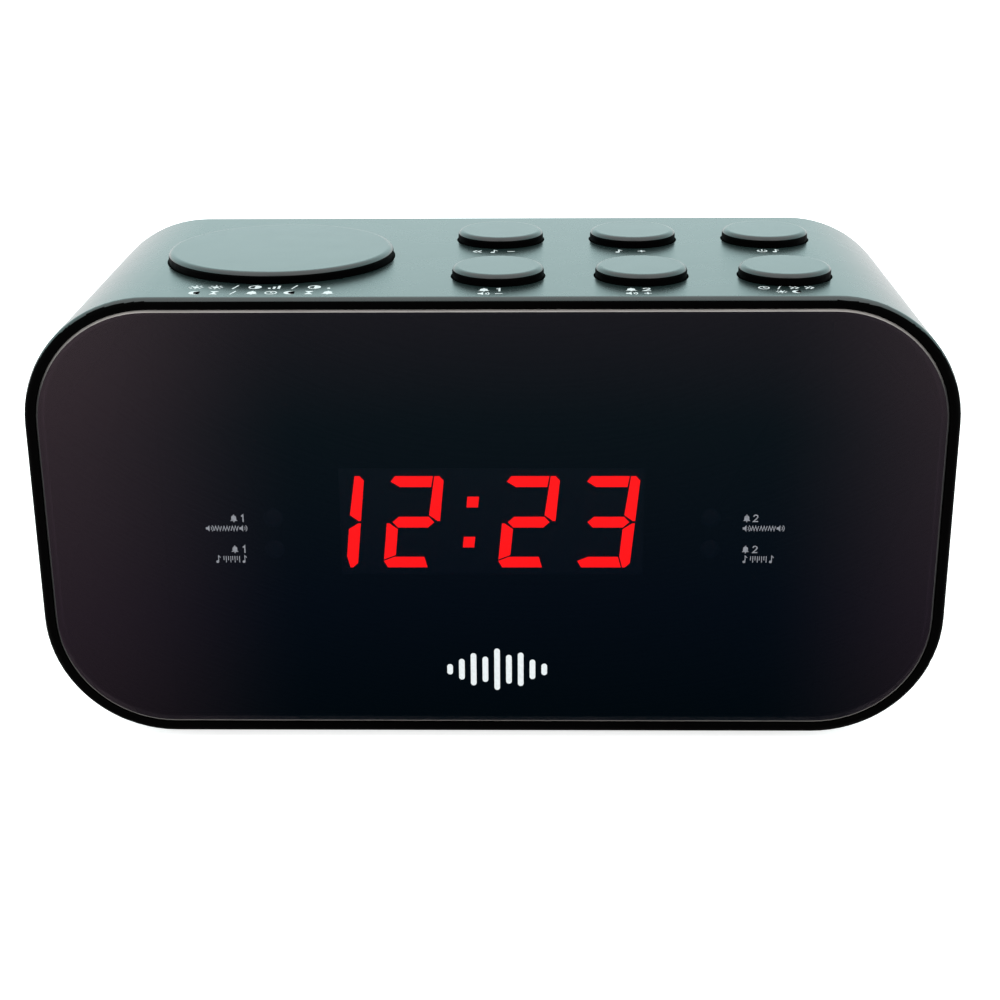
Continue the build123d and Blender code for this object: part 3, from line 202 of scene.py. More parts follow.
def make_world():
    """A soft white room: bright around and behind, dark below the horizon in front of the lens."""
    world = bpy.data.worlds.new("studio")
    bpy.context.scene.world = world
    world.use_nodes = True
    tree = Tree(world.node_tree)
    direction = tree.add("ShaderNodeTexCoord").outputs["Generated"]
    xyz = tree.add("ShaderNodeSeparateXYZ", {"Vector": direction})
    x, y, z = xyz.outputs
    height = tree.remap(z, -1, 1)
    peak = 2.0

    def at(sine, *level):
        """A stop at a height, given as the sine of its angle over the horizon, with one level or three."""
        level = level * 3 if len(level) == 1 else level
        return ((sine + 1) / 2, tuple(part / peak for part in level) + (1,))

    behind = tree.ramp(
        height,
        [
            at(-1, 1.2),
            at(-0.3, 1.9),
            at(-0.08, 1.65),
            at(0.08, 1.35, 1.5, 1.5),
            at(0.2, 1.32, 1.75, 1.75),
            at(0.35, 1.42, 2.0, 2.0),
            at(0.6, 1.35, 1.8, 1.8),
            at(0.85, 1.9),
        ],
    )
    ahead = tree.ramp(
        height,
        [
            at(-1, 0.02),
            at(-0.46, 0.015, 0.06, 0.10),
            at(-0.40, 0.04, 0.09, 0.18),
            at(-0.31, 0.09, 0.17, 0.24),
            at(-0.25, 0.27, 0.26, 0.34),
            at(-0.1, 0.5),
            at(0.3, 0.6),
            at(0.7, 1.1),
            at(0.92, 1.9),
        ],
    )
    aside = tree.math("DIVIDE", tree.math("ABSOLUTE", x), tree.math("MAXIMUM", tree.math("MULTIPLY", y, -1), 0.01))
    warm = tree.ramp(height, [at(-0.5, 0.2, 0.1, 0.12), at(-0.3, 0.65, 0.36, 0.42), at(-0.1, 0.9, 0.8, 0.8)])
    warmth = tree.remap(aside, 0.13, 0.30, smooth=True)
    front = tree.mix(warmth, ahead, tree.mix(1.0, ahead, warm, "ADD"))
    facing = tree.remap(y, -0.75, -0.1, smooth=True)
    background = tree.add("ShaderNodeBackground", {"Color": tree.mix(facing, front, behind), "Strength": peak})
    tree.add("ShaderNodeOutputWorld", {"Surface": background.outputs[0]})


def make_floor():
    """A pale table that is lit through from below; neither the gloss nor the lens of the radio shows it."""
    half = 3.0  # metres
    mesh = bpy.data.meshes.new("floor")
    mesh.from_pydata([(-half, -half, 0), (half, -half, 0), (half, half, 0), (-half, half, 0)], [], [(0, 1, 2, 3)])
    floor = bpy.data.objects.new("floor", mesh)
    bpy.context.scene.collection.objects.link(floor)
    material, tree, shader, coords = new_material("floor")
    cloud = tree.noise(coords, 200 * MM, 2.0)
    tree.put(shader.inputs["Base Color"], tree.mix(cloud, grey(0.84), grey(0.88)))
    shader.inputs["Roughness"].default_value = 0.9
    shader.inputs["Emission Color"].default_value = grey(1)
    shader.inputs["Emission Strength"].default_value = 0.7
    mesh.materials.append(material)
    floor.visible_glossy = False
    floor.visible_transmission = False


# ---------------------------------------------------------------- cabinet, keys and lens


def satin(name, colour, other, rough, grain, depth, ior=1.52):
    """Black styrene from a spark-eroded mould: satin, with a fine even grain and barely uneven gloss."""
    material, tree, shader, coords = new_material(name)
    patches = tree.remap(tree.noise(coords, 14 * MM, 3.0), 0.35, 0.65, smooth=True)
    tree.put(shader.inputs["Base Color"], tree.mix(patches, rgb(*colour), rgb(*other)))
    tree.put(shader.inputs["Roughness"], tree.remap(tree.noise(coords, 5 * MM, 3.0), 0.3, 0.7, *rough))
    tree.put(shader.inputs["Normal"], tree.bump(tree.noise(coords, grain, 2.0, 0.6), depth, 0.6))
    shader.inputs["IOR"].default_value = ior
    return material


def matt_black(name):
    """Black that throws almost nothing back, as around the lens; down the sides of the keys it is painted shade."""
    material, tree, shader, coords = new_material(name)
    patches = tree.noise(coords, 8 * MM, 3.0)
    tree.put(shader.inputs["Base Color"], tree.mix(patches, grey(0.0002), grey(0.0004)))
    tree.put(shader.inputs["Roughness"], tree.remap(tree.noise(coords, 1 * MM, 2.0), 0.3, 0.7, 0.45, 0.6))
    tree.put(shader.inputs["Normal"], tree.bump(tree.noise(coords, 0.25 * MM, 2.0), 0.01 * MM))
    shader.inputs["Specular IOR Level"].default_value = 0.015
    return material


def smoked_acrylic():
    """Acrylic sheet with a dense smoke tint, polished, with faint wipe marks in its gloss."""
    material, tree, shader, coords = new_material("smoked_acrylic")
    shader.inputs["Transmission Weight"].default_value = 1.0
    shader.inputs["IOR"].default_value = 1.49
    patches = tree.noise(coords, 30 * MM, 2.0)
    tree.put(shader.inputs["Base Color"], tree.mix(patches, rgb(0.17, 0.15, 0.17), rgb(0.19, 0.17, 0.19)))
    wipes = tree.noise(tree.stretch(coords, (1, 1, 7)), 18 * MM, 5.0, 0.6)
    tree.put(shader.inputs["Roughness"], tree.remap(wipes, 0.4, 0.75, 0.015, 0.05))
    dust = tree.cells(coords, 5 * MM)
    specks = tree.remap(dust, 0.02, 0.05, 1.0, 0.0)
    tree.put(shader.inputs["Normal"], tree.bump(specks, 0.01 * MM, 0.4))
    return material


def sawn_acrylic():
    """The milled chamfer of the lens, frosted in streaks, with painted light set by which way each face turns:
    lightest along its upper side, darkest down its left and right sides.
    """
    material, tree, shader, coords = new_material("sawn_acrylic")
    streaks = tree.noise(tree.stretch(coords, (0.15, 4, 1)), 0.6 * MM, 3.0)
    normal = tree.add("ShaderNodeSeparateXYZ", {"Vector": tree.add("ShaderNodeNewGeometry").outputs["Normal"]})
    # painted highlight on upward-facing chamfer faces and painted shade on sideways ones, picked by the face's normal
    painted_light_stops = [(0.15, rgb(0.20, 0.19, 0.18)), (0.45, grey(0.035)), (0.60, grey(0.045)), (0.85, rgb(0.38, 0.355, 0.335))]
    frost_and_painted_light = tree.ramp(tree.remap(normal.outputs[2], -1, 1), painted_light_stops)
    tree.put(shader.inputs["Base Color"], tree.mix(streaks, frost_and_painted_light, tree.mix(0.5, frost_and_painted_light, grey(0.0))))
    tree.put(shader.inputs["Roughness"], tree.remap(streaks, 0.3, 0.7, 0.35, 0.55))
    tree.put(shader.inputs["Normal"], tree.bump(streaks, 0.02 * MM, 0.6))
    shader.inputs["IOR"].default_value = 1.49
    return material


def lit_segment():
    """The glowing face of a display segment, a little brighter in places, as over its lamp."""
    material, tree, shader, coords = new_material("segment_red_lit")
    shader.inputs["Base Color"].default_value = rgb(0.25, 0.005, 0.005)
    shader.inputs["Emission Color"].default_value = rgb(1.0, 0.0045, 0.0026)
    glow = tree.remap(tree.noise(coords, 1.6 * MM, 2.0), 0.3, 0.7, 6.2, 7.0)
    tree.put(shader.inputs["Emission Strength"], glow)
    shader.inputs["Roughness"].default_value = 0.4
    return material


# ---------------------------------------------------------------- everything else


def stripes(tree, coords, axis, pitch, distortion=0.0):
    """0 to 1 waves along an axis of the row frame, one every pitch."""
    bands_per_unit = 10 / math.pi  # of the wave node at scale 1
    wave = tree.add(
        "ShaderNodeTexWave",
        {"Scale": 1 / pitch / bands_per_unit, "Distortion": distortion, "Detail": 1.0},
        bands_direction=axis,
    )
    tree.put(wave.inputs["Vector"], coords)
    return wave.outputs["Fac"]


def ribbed(name, colour, other, axis, pitch, depth, rough=(0.4, 0.5), metallic=0.0, distortion=0.0):
    """Something made of many turns, threads or sheets side by side."""
    material, tree, shader, coords = new_material(name)
    wave = stripes(tree, coords, axis, pitch, distortion)
    spots = tree.noise(coords, 4 * MM, 4.0)
    colours = tree.mix(tree.math("POWER", wave, 0.6), rgb(*other), rgb(*colour))
    tree.put(shader.inputs["Base Color"], tree.mix(tree.remap(spots, 0.5, 0.8, 0, 0.5), colours, rgb(*other)))
    tree.put(shader.inputs["Roughness"], tree.remap(spots, 0.3, 0.7, *rough))
    tree.put(shader.inputs["Normal"], tree.bump(wave, depth))
    shader.inputs["Metallic"].default_value = metallic
    return material


def metal(name, colour, rough=(0.25, 0.4), lay=(1, 1, 12), depth=0.004 * MM, stain=0.35):
    """Plated or bare metal with drawn lines, stains and a slightly uneven gloss."""
    material, tree, shader, coords = new_material(name)
    lines = tree.noise(tree.stretch(coords, lay), 1.2 * MM, 4.0, 0.7)
    spots = tree.remap(tree.noise(coords, 3 * MM, 5.0), 0.5, 0.75, 0.0, stain)
    dull = tuple(c * 0.55 for c in colour)
    tree.put(shader.inputs["Base Color"], tree.mix(spots, rgb(*colour), rgb(*dull)))
    tree.put(shader.inputs["Roughness"], tree.remap(lines, 0.3, 0.7, *rough))
    tree.put(shader.inputs["Normal"], tree.bump(lines, depth))
    shader.inputs["Metallic"].default_value = 1.0
    return material


def circuit_board():
    """Green solder mask over copper tracks that run two ways, with tinned pads."""
    material, tree, shader, coords = new_material("circuit_board")
    zone = tree.remap(tree.noise(coords, 9 * MM, 1.0), 0.49, 0.51)
    across = tree.remap(stripes(tree, coords, "X", 1.9 * MM), 0.80, 0.86)
    along = tree.remap(stripes(tree, coords, "Z", 1.9 * MM), 0.80, 0.86)
    tracks = tree.add("ShaderNodeMix", {0: zone, 2: across, 3: along}, data_type="FLOAT").outputs[0]
    mask = tree.mix(tree.noise(coords, 5 * MM, 3.0), rgb(0.008, 0.07, 0.022), rgb(0.010, 0.085, 0.028))
    board = tree.mix(tracks, mask, rgb(0.022, 0.15, 0.045))
    pads = tree.remap(tree.cells(coords, 4.2 * MM), 0.13, 0.16, 1.0, 0.0)
    tree.put(shader.inputs["Base Color"], tree.mix(pads, board, rgb(0.62, 0.60, 0.56)))
    tree.put(shader.inputs["Metallic"], pads)
    tree.put(shader.inputs["Roughness"], tree.remap(pads, 0, 1, 0.34, 0.28))
    tree.put(shader.inputs["Normal"], tree.bump(tree.math("ADD", tracks, pads), 0.03 * MM))
    return material


def capacitor_sleeve():
    """Shrink sleeve with a pale polarity stripe down one side and a bare aluminium top."""
    material, tree, shader, coords = new_material("capacitor_sleeve")
    facing = tree.add("ShaderNodeSeparateXYZ", {"Vector": tree.add("ShaderNodeNewGeometry").outputs["Normal"]}).outputs
    stripe = tree.remap(facing[0], 0.90, 0.92)
    top = tree.remap(facing[1], 0.90, 0.95)
    film = tree.mix(tree.noise(coords, 3 * MM), rgb(0.010, 0.016, 0.07), rgb(0.014, 0.022, 0.09))
    sleeve = tree.mix(stripe, film, rgb(0.42, 0.44, 0.48))
    tree.put(shader.inputs["Base Color"], tree.mix(top, sleeve, grey(0.72)))
    tree.put(shader.inputs["Metallic"], top)
    tree.put(shader.inputs["Roughness"], tree.remap(tree.noise(coords, 0.8 * MM), 0.3, 0.7, 0.26, 0.36))
    tree.put(shader.inputs["Normal"], tree.bump(tree.noise(coords, 2 * MM, 2.0), 0.04 * MM))
    return material


def banded(name, colour, axis, centres, half, bands):
    """A small axial part: painted bands at set places along its axis, the same on every part in its row."""
    material, tree, shader, coords = new_material(name)
    place = tree.add("ShaderNodeSeparateXYZ", {"Vector": coords}).outputs["XYZ".index(axis)]
    local = None
    for centre in centres:
        offset = tree.math("SUBTRACT", place, centre)
        near = tree.math("LESS_THAN", tree.math("ABSOLUTE", offset), half * 2)
        part = tree.math("MULTIPLY", offset, near)
        local = part if local is None else tree.math("ADD", local, part)
    stops = [(0.0, grey(0.6)), (0.001, rgb(*colour))]
    for start, end, paint in bands:
        stops += [(start, rgb(*paint)), (end, rgb(*colour))]
    painted = tree.ramp(tree.remap(local, -half, half), stops, "CONSTANT")
    tree.put(shader.inputs["Base Color"], painted)
    tree.put(shader.inputs["Roughness"], tree.remap(tree.noise(coords, 0.7 * MM), 0.3, 0.7, 0.25, 0.35))
    tree.put(shader.inputs["Normal"], tree.bump(tree.noise(coords, 1 * MM), 0.02 * MM))
    return material


CELL_MIDDLE_X, CELL_HALF_LENGTH = 24.5, 24.0  # mm


def battery_jacket():
    """Printed film: dark blue with a copper band at the button end of each cell."""
    material, tree, shader, coords = new_material("cell_jacket")
    x, y, z = tree.add("ShaderNodeSeparateXYZ", {"Vector": coords}).outputs
    side = tree.math("SIGN", y)
    along = tree.math("MULTIPLY", tree.math("SUBTRACT", x, CELL_MIDDLE_X * MM), side)
    silver, navy, copper = rgb(0.7, 0.7, 0.68), rgb(0.012, 0.03, 0.10), rgb(0.60, 0.26, 0.10)
    film = tree.ramp(
        tree.remap(along, -CELL_HALF_LENGTH * MM, CELL_HALF_LENGTH * MM),
        [(0.0, silver), (0.06, navy), (0.66, grey(0.7)), (0.68, copper), (0.955, silver)],
        "CONSTANT",
    )
    tree.put(shader.inputs["Base Color"], film)
    tree.put(shader.inputs["Roughness"], tree.remap(tree.noise(coords, 2 * MM, 3.0), 0.3, 0.7, 0.22, 0.32))
    shader.inputs["Metallic"].default_value = 0.6
    tree.put(shader.inputs["Normal"], tree.bump(tree.noise(coords, 4 * MM, 2.0), 0.05 * MM))
    return material


def cone_paper():
    """Pressed paper with ring corrugations around the speaker's axis and loose fibres."""
    material, tree, shader, coords = new_material("cone_paper")
    low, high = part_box("speaker_cone")
    centre = tree.add("ShaderNodeVectorMath", {0: coords, 1: (low + high) / 2}, operation="SUBTRACT").outputs[0]
    flat = tree.add("ShaderNodeVectorMath", {0: centre, 1: (1, 0, 1)}, operation="MULTIPLY").outputs[0]
    radius = tree.add("ShaderNodeVectorMath", {0: flat}, operation="LENGTH").outputs["Value"]
    rings = tree.math("SINE", tree.math("MULTIPLY", radius, 2 * math.pi / (2.4 * MM)))
    fibres = tree.noise(tree.stretch(coords, (1, 1, 3)), 0.7 * MM, 4.0)
    tree.put(shader.inputs["Base Color"], tree.mix(fibres, grey(0.018), grey(0.045)))
    shader.inputs["Roughness"].default_value = 0.85
    ridges = tree.bump(rings, 0.12 * MM)
    tree.put(shader.inputs["Normal"], tree.bump(fibres, 0.05 * MM, 1.0, ridges))
    return material


def foam():
    """Open-celled black foam."""
    material, tree, shader, coords = new_material("gasket_foam")
    cells = tree.cells(coords, 0.5 * MM)
    tree.put(shader.inputs["Base Color"], tree.mix(cells, grey(0.012), grey(0.05)))
    shader.inputs["Roughness"].default_value = 0.95
    tree.put(shader.inputs["Normal"], tree.bump(cells, 0.15 * MM))
    return material


def wrapped_tape():
    """Polyester tape over the coil: overlapping turns and a wrinkled sheen."""
    material, tree, shader, coords = new_material("winding_tape")
    laps = tree.remap(stripes(tree, coords, "Y", 5 * MM, 0.6), 0.05, 0.12)
    creases = tree.noise(tree.stretch(coords, (1, 4, 1)), 3 * MM, 4.0)
    tree.put(shader.inputs["Base Color"], tree.mix(laps, rgb(0.42, 0.27, 0.02), rgb(0.72, 0.50, 0.05)))
    tree.put(shader.inputs["Roughness"], tree.remap(creases, 0.3, 0.7, 0.2, 0.4))
    tree.put(shader.inputs["Normal"], tree.bump(tree.math("ADD", laps, creases), 0.06 * MM))
    return material


TAN, TIN = (0.45, 0.33, 0.18), (0.72, 0.72, 0.70)
BROWN, RED, ORANGE, GOLD = (0.09, 0.03, 0.012), (0.5, 0.02, 0.015), (0.7, 0.2, 0.02), (0.6, 0.38, 0.06)

LOOKS = {
    "cabinet_plastic": lambda: satin(
        "cabinet_plastic", (0.006, 0.014, 0.0135), (0.008, 0.016, 0.0155), (0.27, 0.28), 0.28 * MM, 0.003 * MM
    ),
    "button_plastic": lambda: satin(
        "button_plastic", (0.005, 0.010, 0.0098), (0.006, 0.012, 0.0115), (0.255, 0.27), 0.25 * MM, 0.004 * MM
    ),
    "cover_plastic": lambda: satin(
        "cover_plastic", (0.005, 0.0052, 0.0056), (0.0065, 0.0068, 0.0072), (0.36, 0.46), 0.4 * MM, 0.03 * MM
    ),
    "smoked_acrylic": smoked_acrylic,
    "mask_ink": lambda: solid("mask_ink", (0.0012, 0.0012, 0.0016), rough=(0.55, 0.65), depth=0.004 * MM),
    "display_resin": lambda: solid("display_resin", (0.0014, 0.0012, 0.0016), rough=(0.55, 0.65), depth=0.004 * MM),
    "segment_red_lit": lit_segment,
    "segment_red_dark": lambda: solid("segment_red_dark", (0.02, 0.003, 0.003), (0.014, 0.002, 0.002), 2 * MM),
    "indicator_resin": lambda: solid(
        "indicator_resin", (0.012, 0.001, 0.001), (0.008, 0.0007, 0.0007), 2 * MM, (0.12, 0.2), 0.5 * MM, 0.01 * MM
    ),
    "tinned_metal": lambda: metal("tinned_metal", TIN, (0.3, 0.45)),
    "screw_steel": lambda: metal("screw_steel", (0.07, 0.07, 0.075), (0.3, 0.45), (3, 3, 3), 0.01 * MM),
    "zinc_screw_steel": lambda: metal("zinc_screw_steel", (0.62, 0.58, 0.44), (0.25, 0.4), (3, 3, 3), 0.01 * MM),
    "circuit_board": circuit_board,
    "chip_epoxy": lambda: solid(
        "chip_epoxy", (0.012, 0.012, 0.013), (0.017, 0.017, 0.018), 1.5 * MM, (0.5, 0.65), 0.15 * MM, 0.02 * MM
    ),
    "capacitor_sleeve": capacitor_sleeve,
    "ceramic_disc": lambda: solid(
        "ceramic_disc", (0.50, 0.17, 0.03), (0.36, 0.11, 0.02), 1.2 * MM, (0.25, 0.4), 0.4 * MM, 0.03 * MM
    ),
    "resistor_body": lambda: banded(
        "resistor_body",
        TAN,
        "X",
        (-36.5 * MM, 37.0 * MM),
        3.2 * MM,
        [(0.16, 0.24, BROWN), (0.34, 0.42, RED), (0.50, 0.58, ORANGE), (0.76, 0.84, GOLD)],
    ),
    "diode_body": lambda: banded(
        "diode_body", (0.006, 0.006, 0.007), "Z", (43.5 * MM,), 2.8 * MM, [(0.72, 0.86, (0.55, 0.55, 0.55))]
    ),
    "can_metal": lambda: metal("can_metal", (0.66, 0.67, 0.68), (0.2, 0.35), (12, 1, 1)),
    "white_nylon": lambda: solid("white_nylon", (0.74, 0.71, 0.62), (0.66, 0.62, 0.52), rough=(0.4, 0.5)),
    "ferrite": lambda: solid(
        "ferrite", (0.018, 0.018, 0.02), (0.03, 0.028, 0.027), 2 * MM, (0.35, 0.6), 0.3 * MM, 0.03 * MM
    ),
    "litz_winding": lambda: ribbed("litz_winding", (0.55, 0.20, 0.07), (0.12, 0.03, 0.01), "X", 0.5 * MM, 0.2 * MM),
    "frame_plastic": lambda: solid("frame_plastic", (0.05, 0.05, 0.055), (0.04, 0.04, 0.045), rough=(0.45, 0.55)),
    "switch_plastic": lambda: solid("switch_plastic", (0.012, 0.012, 0.012), rough=(0.3, 0.4)),
    "plunger_plastic": lambda: solid("plunger_plastic", (0.30, 0.27, 0.20), (0.25, 0.22, 0.16), 2 * MM),
    "cell_jacket": battery_jacket,
    "contact_metal": lambda: metal("contact_metal", (0.70, 0.68, 0.62), (0.2, 0.35)),
    "foot_rubber": lambda: solid(
        "foot_rubber", (0.014, 0.014, 0.015), (0.02, 0.02, 0.02), 2 * MM, (0.7, 0.85), 0.4 * MM, 0.05 * MM
    ),
    "gland_rubber": lambda: solid(
        "gland_rubber", (0.010, 0.010, 0.011), (0.014, 0.014, 0.014), 3 * MM, (0.55, 0.7), 0.3 * MM, 0.03 * MM
    ),
    "gasket_foam": foam,
    "basket_steel": lambda: metal("basket_steel", (0.45, 0.46, 0.46), (0.3, 0.5), (2, 2, 2), 0.01 * MM, 0.5),
    "cone_paper": cone_paper,
    "cap_paper": lambda: solid(
        "cap_paper", (0.03, 0.03, 0.032), (0.05, 0.05, 0.05), 1.5 * MM, (0.5, 0.7), 0.4 * MM, 0.05 * MM
    ),
    "magnet_ceramic": lambda: solid(
        "magnet_ceramic", (0.035, 0.035, 0.04), (0.06, 0.058, 0.058), 3 * MM, (0.45, 0.7), 0.4 * MM, 0.04 * MM
    ),
    "yoke_steel": lambda: metal("yoke_steel", (0.55, 0.53, 0.42), (0.25, 0.4), (2, 2, 2), 0.01 * MM, 0.5),
    "fibre_board": lambda: ribbed("fibre_board", (0.30, 0.12, 0.05), (0.20, 0.07, 0.03), "Z", 0.6 * MM, 0.02 * MM),
    "core_steel": lambda: ribbed(
        "core_steel", (0.16, 0.16, 0.17), (0.05, 0.04, 0.035), "Y", 0.5 * MM, 0.12 * MM, (0.35, 0.5), 0.7
    ),
    "bobbin_nylon": lambda: solid("bobbin_nylon", (0.62, 0.58, 0.46), (0.54, 0.50, 0.38), rough=(0.35, 0.5)),
    "winding_tape": wrapped_tape,
    "bracket_steel": lambda: metal("bracket_steel", (0.58, 0.55, 0.45), (0.3, 0.45)),
    "wire_insulation": lambda: solid(
        "wire_red", (0.42, 0.012, 0.010), (0.34, 0.010, 0.008), 3 * MM, (0.3, 0.42), 0.5 * MM, 0.02 * MM
    ),
    "ribbon_plastic": lambda: ribbed(
        "ribbon_plastic", (0.42, 0.42, 0.44), (0.18, 0.18, 0.19), "X", 1.17 * MM, 0.25 * MM, (0.4, 0.5)
    ),
}


def paint_nodes():
    """Every CAD node takes the look named after its slot in the record."""
    made = {}
    for node in NODES.values():
        for slot in node.material_slots:
            name = slot.material.name
            if name not in made:
                made[name] = LOOKS[name]()
            slot.material = made[name]


def repaint(name, material, chosen):
    """The polygons of a node that chosen(centre in mm, normal) picks take a material of their own."""
    mesh = NODES[name].data
    mesh.materials.append(material)
    index = len(mesh.materials) - 1
    for polygon in mesh.polygons:
        if chosen(polygon.center / MM, polygon.normal):
            polygon.material_index = index


# The front outline of the cabinet in mm: half its width, its middle height, half its height and its corner radius.
HALF_WIDTH, MIDDLE_Z, HALF_HEIGHT, CORNER = 70.15, 37.0, 35.5, 19.6
FRONT_Y = -28.5
# Where the matt rim starts inside the outline in mm, how much further in that is on top, and how deep it runs.
RIM_START, RIM_START_ON_TOP, RIM_DEPTH = 0.15, 0.35, 4.0
# The chamfer of the lens faces forward less than its face does and more than its edge does.
LENS_FACE_SLOPE, LENS_EDGE_SLOPE = 0.95, 0.2
KEY_SIDE_SLOPE = 0.35  # the sides of a key face up less than this


def inset(x, z):
    """How far inside the cabinet's outline a point lies, in mm."""
    dx = abs(x) - (HALF_WIDTH - CORNER)
    dz = abs(z - MIDDLE_Z) - (HALF_HEIGHT - CORNER)
    return CORNER - math.hypot(max(dx, 0), max(dz, 0)) - min(max(dx, dz), 0)


def upward(x, z):
    """How far the cabinet's outline faces up beside a point: 1 along the top, 0 down the sides and the bottom."""
    dx = max(abs(x) - (HALF_WIDTH - CORNER), 0)
    dz = max(z - MIDDLE_Z - (HALF_HEIGHT - CORNER), 0)
    return dz / math.hypot(dx, dz) if dz else 0


def paint_front():
    """The rim around the lens is black and matt, from further in along the top, and the lens has a milled chamfer with
    a painted highlight along its upper side.
    """

    def on_rim(centre, normal):
        start = RIM_START + RIM_START_ON_TOP * upward(centre.x, centre.z) ** 2
        return centre.y < FRONT_Y + RIM_DEPTH and inset(centre.x, centre.z) > start

    repaint("cabinet_shell", matt_black("rim_black"), on_rim)
    repaint("front_lens", sawn_acrylic(), lambda centre, normal: -LENS_FACE_SLOPE < normal.y < -LENS_EDGE_SLOPE)


def paint_key_side_shade():
    """The upright sides of the keys take a darker matt black than their tops: painted shade, picked by which way each
    face turns.
    """
    dull = matt_black("key_side_painted_shade")
    for name in NODES:
        if name.startswith("button_"):
            # painted shade: faces that barely face up get the dark matt black
            repaint(name, dull, lambda centre, normal: abs(normal.z) < KEY_SIDE_SLOPE)


def islands(mesh):
    """The polygons of each separate solid in a mesh."""
    seen, parent, at = {}, [], []

    def root(i):
        while parent[i] != i:
            parent[i] = parent[parent[i]]
            i = parent[i]
        return i

    for vertex in mesh.vertices:
        key = tuple(round(c * 1e6) for c in vertex.co)  # vertices in one place count as one
        if key not in seen:
            seen[key] = len(parent)
            parent.append(len(parent))
        at.append(seen[key])
    for polygon in mesh.polygons:
        first = root(at[polygon.vertices[0]])
        for other in polygon.vertices[1:]:
            parent[root(at[other])] = first
    groups = {}
    for polygon in mesh.polygons:
        groups.setdefault(root(at[polygon.vertices[0]]), []).append(polygon)
    return sorted(groups.values(), key=lambda group: tuple(round(c, 5) for c in group[0].center))


def paint_wires():
    """The wires have different colours, as a repairer would want them."""
    mesh = NODES["internal_wires"].data
    paints = {"wire_black": (0.012, 0.012, 0.012), "wire_blue": (0.02, 0.06, 0.35), "wire_white": (0.62, 0.62, 0.58)}
    for name, colour in paints.items():
        mesh.materials.append(solid(name, colour, None, 3 * MM, (0.3, 0.42), 0.5 * MM, 0.02 * MM))
    for number, group in enumerate(islands(mesh)):
        for polygon in group:
            polygon.material_index = number % (len(paints) + 1)


# ---------------------------------------------------------------- printed legends


class Print:
    """A set of flat pictograms, drawn in millimetres on a plane and raised by the thickness of the ink."""

    def __init__(self, place):
        self.mesh = bmesh.new()
        self.place = place
        self.count = 0

    def outline(self, points):
        """A closed shape, with its top a hair away from its neighbours' so that crossing shapes don't share a face."""
        self.count += 1
        top = INK_HEIGHT + INK_STEP * (self.count % 5)
        upper = [self.mesh.verts.new(self.place(u, v, top)) for u, v in points]
        lower = [self.mesh.verts.new(self.place(u, v, -INK_SUNK)) for u, v in points]
        self.mesh.faces.new(upper)
        self.mesh.faces.new(lower[::-1])
        for i in range(len(points)):
            j = (i + 1) % len(points)
            self.mesh.faces.new((lower[i], lower[j], upper[j], upper[i]))

    def finish(self, name, material):
        bmesh.ops.recalc_face_normals(self.mesh, faces=self.mesh.faces)
        mesh = bpy.data.meshes.new(name)
        self.mesh.to_mesh(mesh)
        self.mesh.free()
        mesh.materials.append(material)
        piece = bpy.data.objects.new(name, mesh)
        bpy.context.scene.collection.objects.link(piece)
        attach(piece, "cabinet")


INK_HEIGHT, INK_SUNK, INK_STEP = 0.02, 0.01, 0.0015  # mm


def arc_points(u, v, r, start, end, steps=14):
    turns = [math.radians(start + (end - start) * i / steps) for i in range(steps + 1)]
    return [(u + r * math.cos(t), v + r * math.sin(t)) for t in turns]


def disc(p, u, v, r):
    p.outline(arc_points(u, v, r, 0, 340, 17))


def arc(p, u, v, r, width, start, end):
    p.outline(arc_points(u, v, r + width / 2, start, end) + arc_points(u, v, r - width / 2, start, end)[::-1])


def ring(p, u, v, r, width):
    arc(p, u, v, r, width, 0, 180)
    arc(p, u, v, r, width, 180, 360)


def stroke(p, points, width):
    """A line of even width through the points, with mitred corners."""
    left, right = [], []
    for i, (u, v) in enumerate(points):
        before = Vector(points[max(i - 1, 0)])
        after = Vector(points[min(i + 1, len(points) - 1)])
        here = Vector((u, v))
        one = (here - before).normalized() if i else (after - here).normalized()
        two = (after - here).normalized() if i < len(points) - 1 else one
        middle = (one + two).normalized()
        normal = Vector((-middle.y, middle.x)) * (width / 2 / max(middle.dot(one), 0.4))
        left.append(tuple(here + normal))
        right.append(tuple(here - normal))
    p.outline(left + right[::-1])


def scaled(points, u, v, size):
    return [(u + x * size, v + y * size) for x, y in points]


def bell(p, u, v, s):
    dome = arc_points(0, 0.08, 0.30, 180, 0, 12)
    p.outline(scaled([(-0.44, -0.34), (-0.30, -0.20), *dome, (0.30, -0.20), (0.44, -0.34)], u, v, s))
    disc(p, u, v - 0.43 * s, 0.08 * s)
    disc(p, u, v + 0.44 * s, 0.06 * s)


def one(p, u, v, s):
    stroke(p, scaled([(-0.16, 0.24), (0.06, 0.44), (0.06, -0.48)], u, v, s), 0.15 * s)


def two(p, u, v, s):
    curve = [(-0.26, 0.2), (-0.18, 0.38), (0, 0.43), (0.2, 0.36), (0.25, 0.18), (0.14, 0.0), (-0.26, -0.41)]
    stroke(p, scaled([*curve, (0.3, -0.41)], u, v, s), 0.14 * s)


def note(p, u, v, s):
    disc(p, u - 0.13 * s, v - 0.32 * s, 0.17 * s)
    stroke(p, scaled([(0.0, -0.32), (0.0, 0.46), (0.24, 0.22)], u, v, s), 0.10 * s)


def horn(p, u, v, s):
    lower = [(-0.45, -0.15), (-0.25, -0.15), (0.0, -0.42)]
    upper = [(0.0, 0.42), (-0.25, 0.15), (-0.45, 0.15)]
    p.outline(scaled(lower + upper, u, v, s))
    arc(p, u, v, 0.26 * s, 0.09 * s, -50, 50)
    arc(p, u, v, 0.48 * s, 0.09 * s, -50, 50)


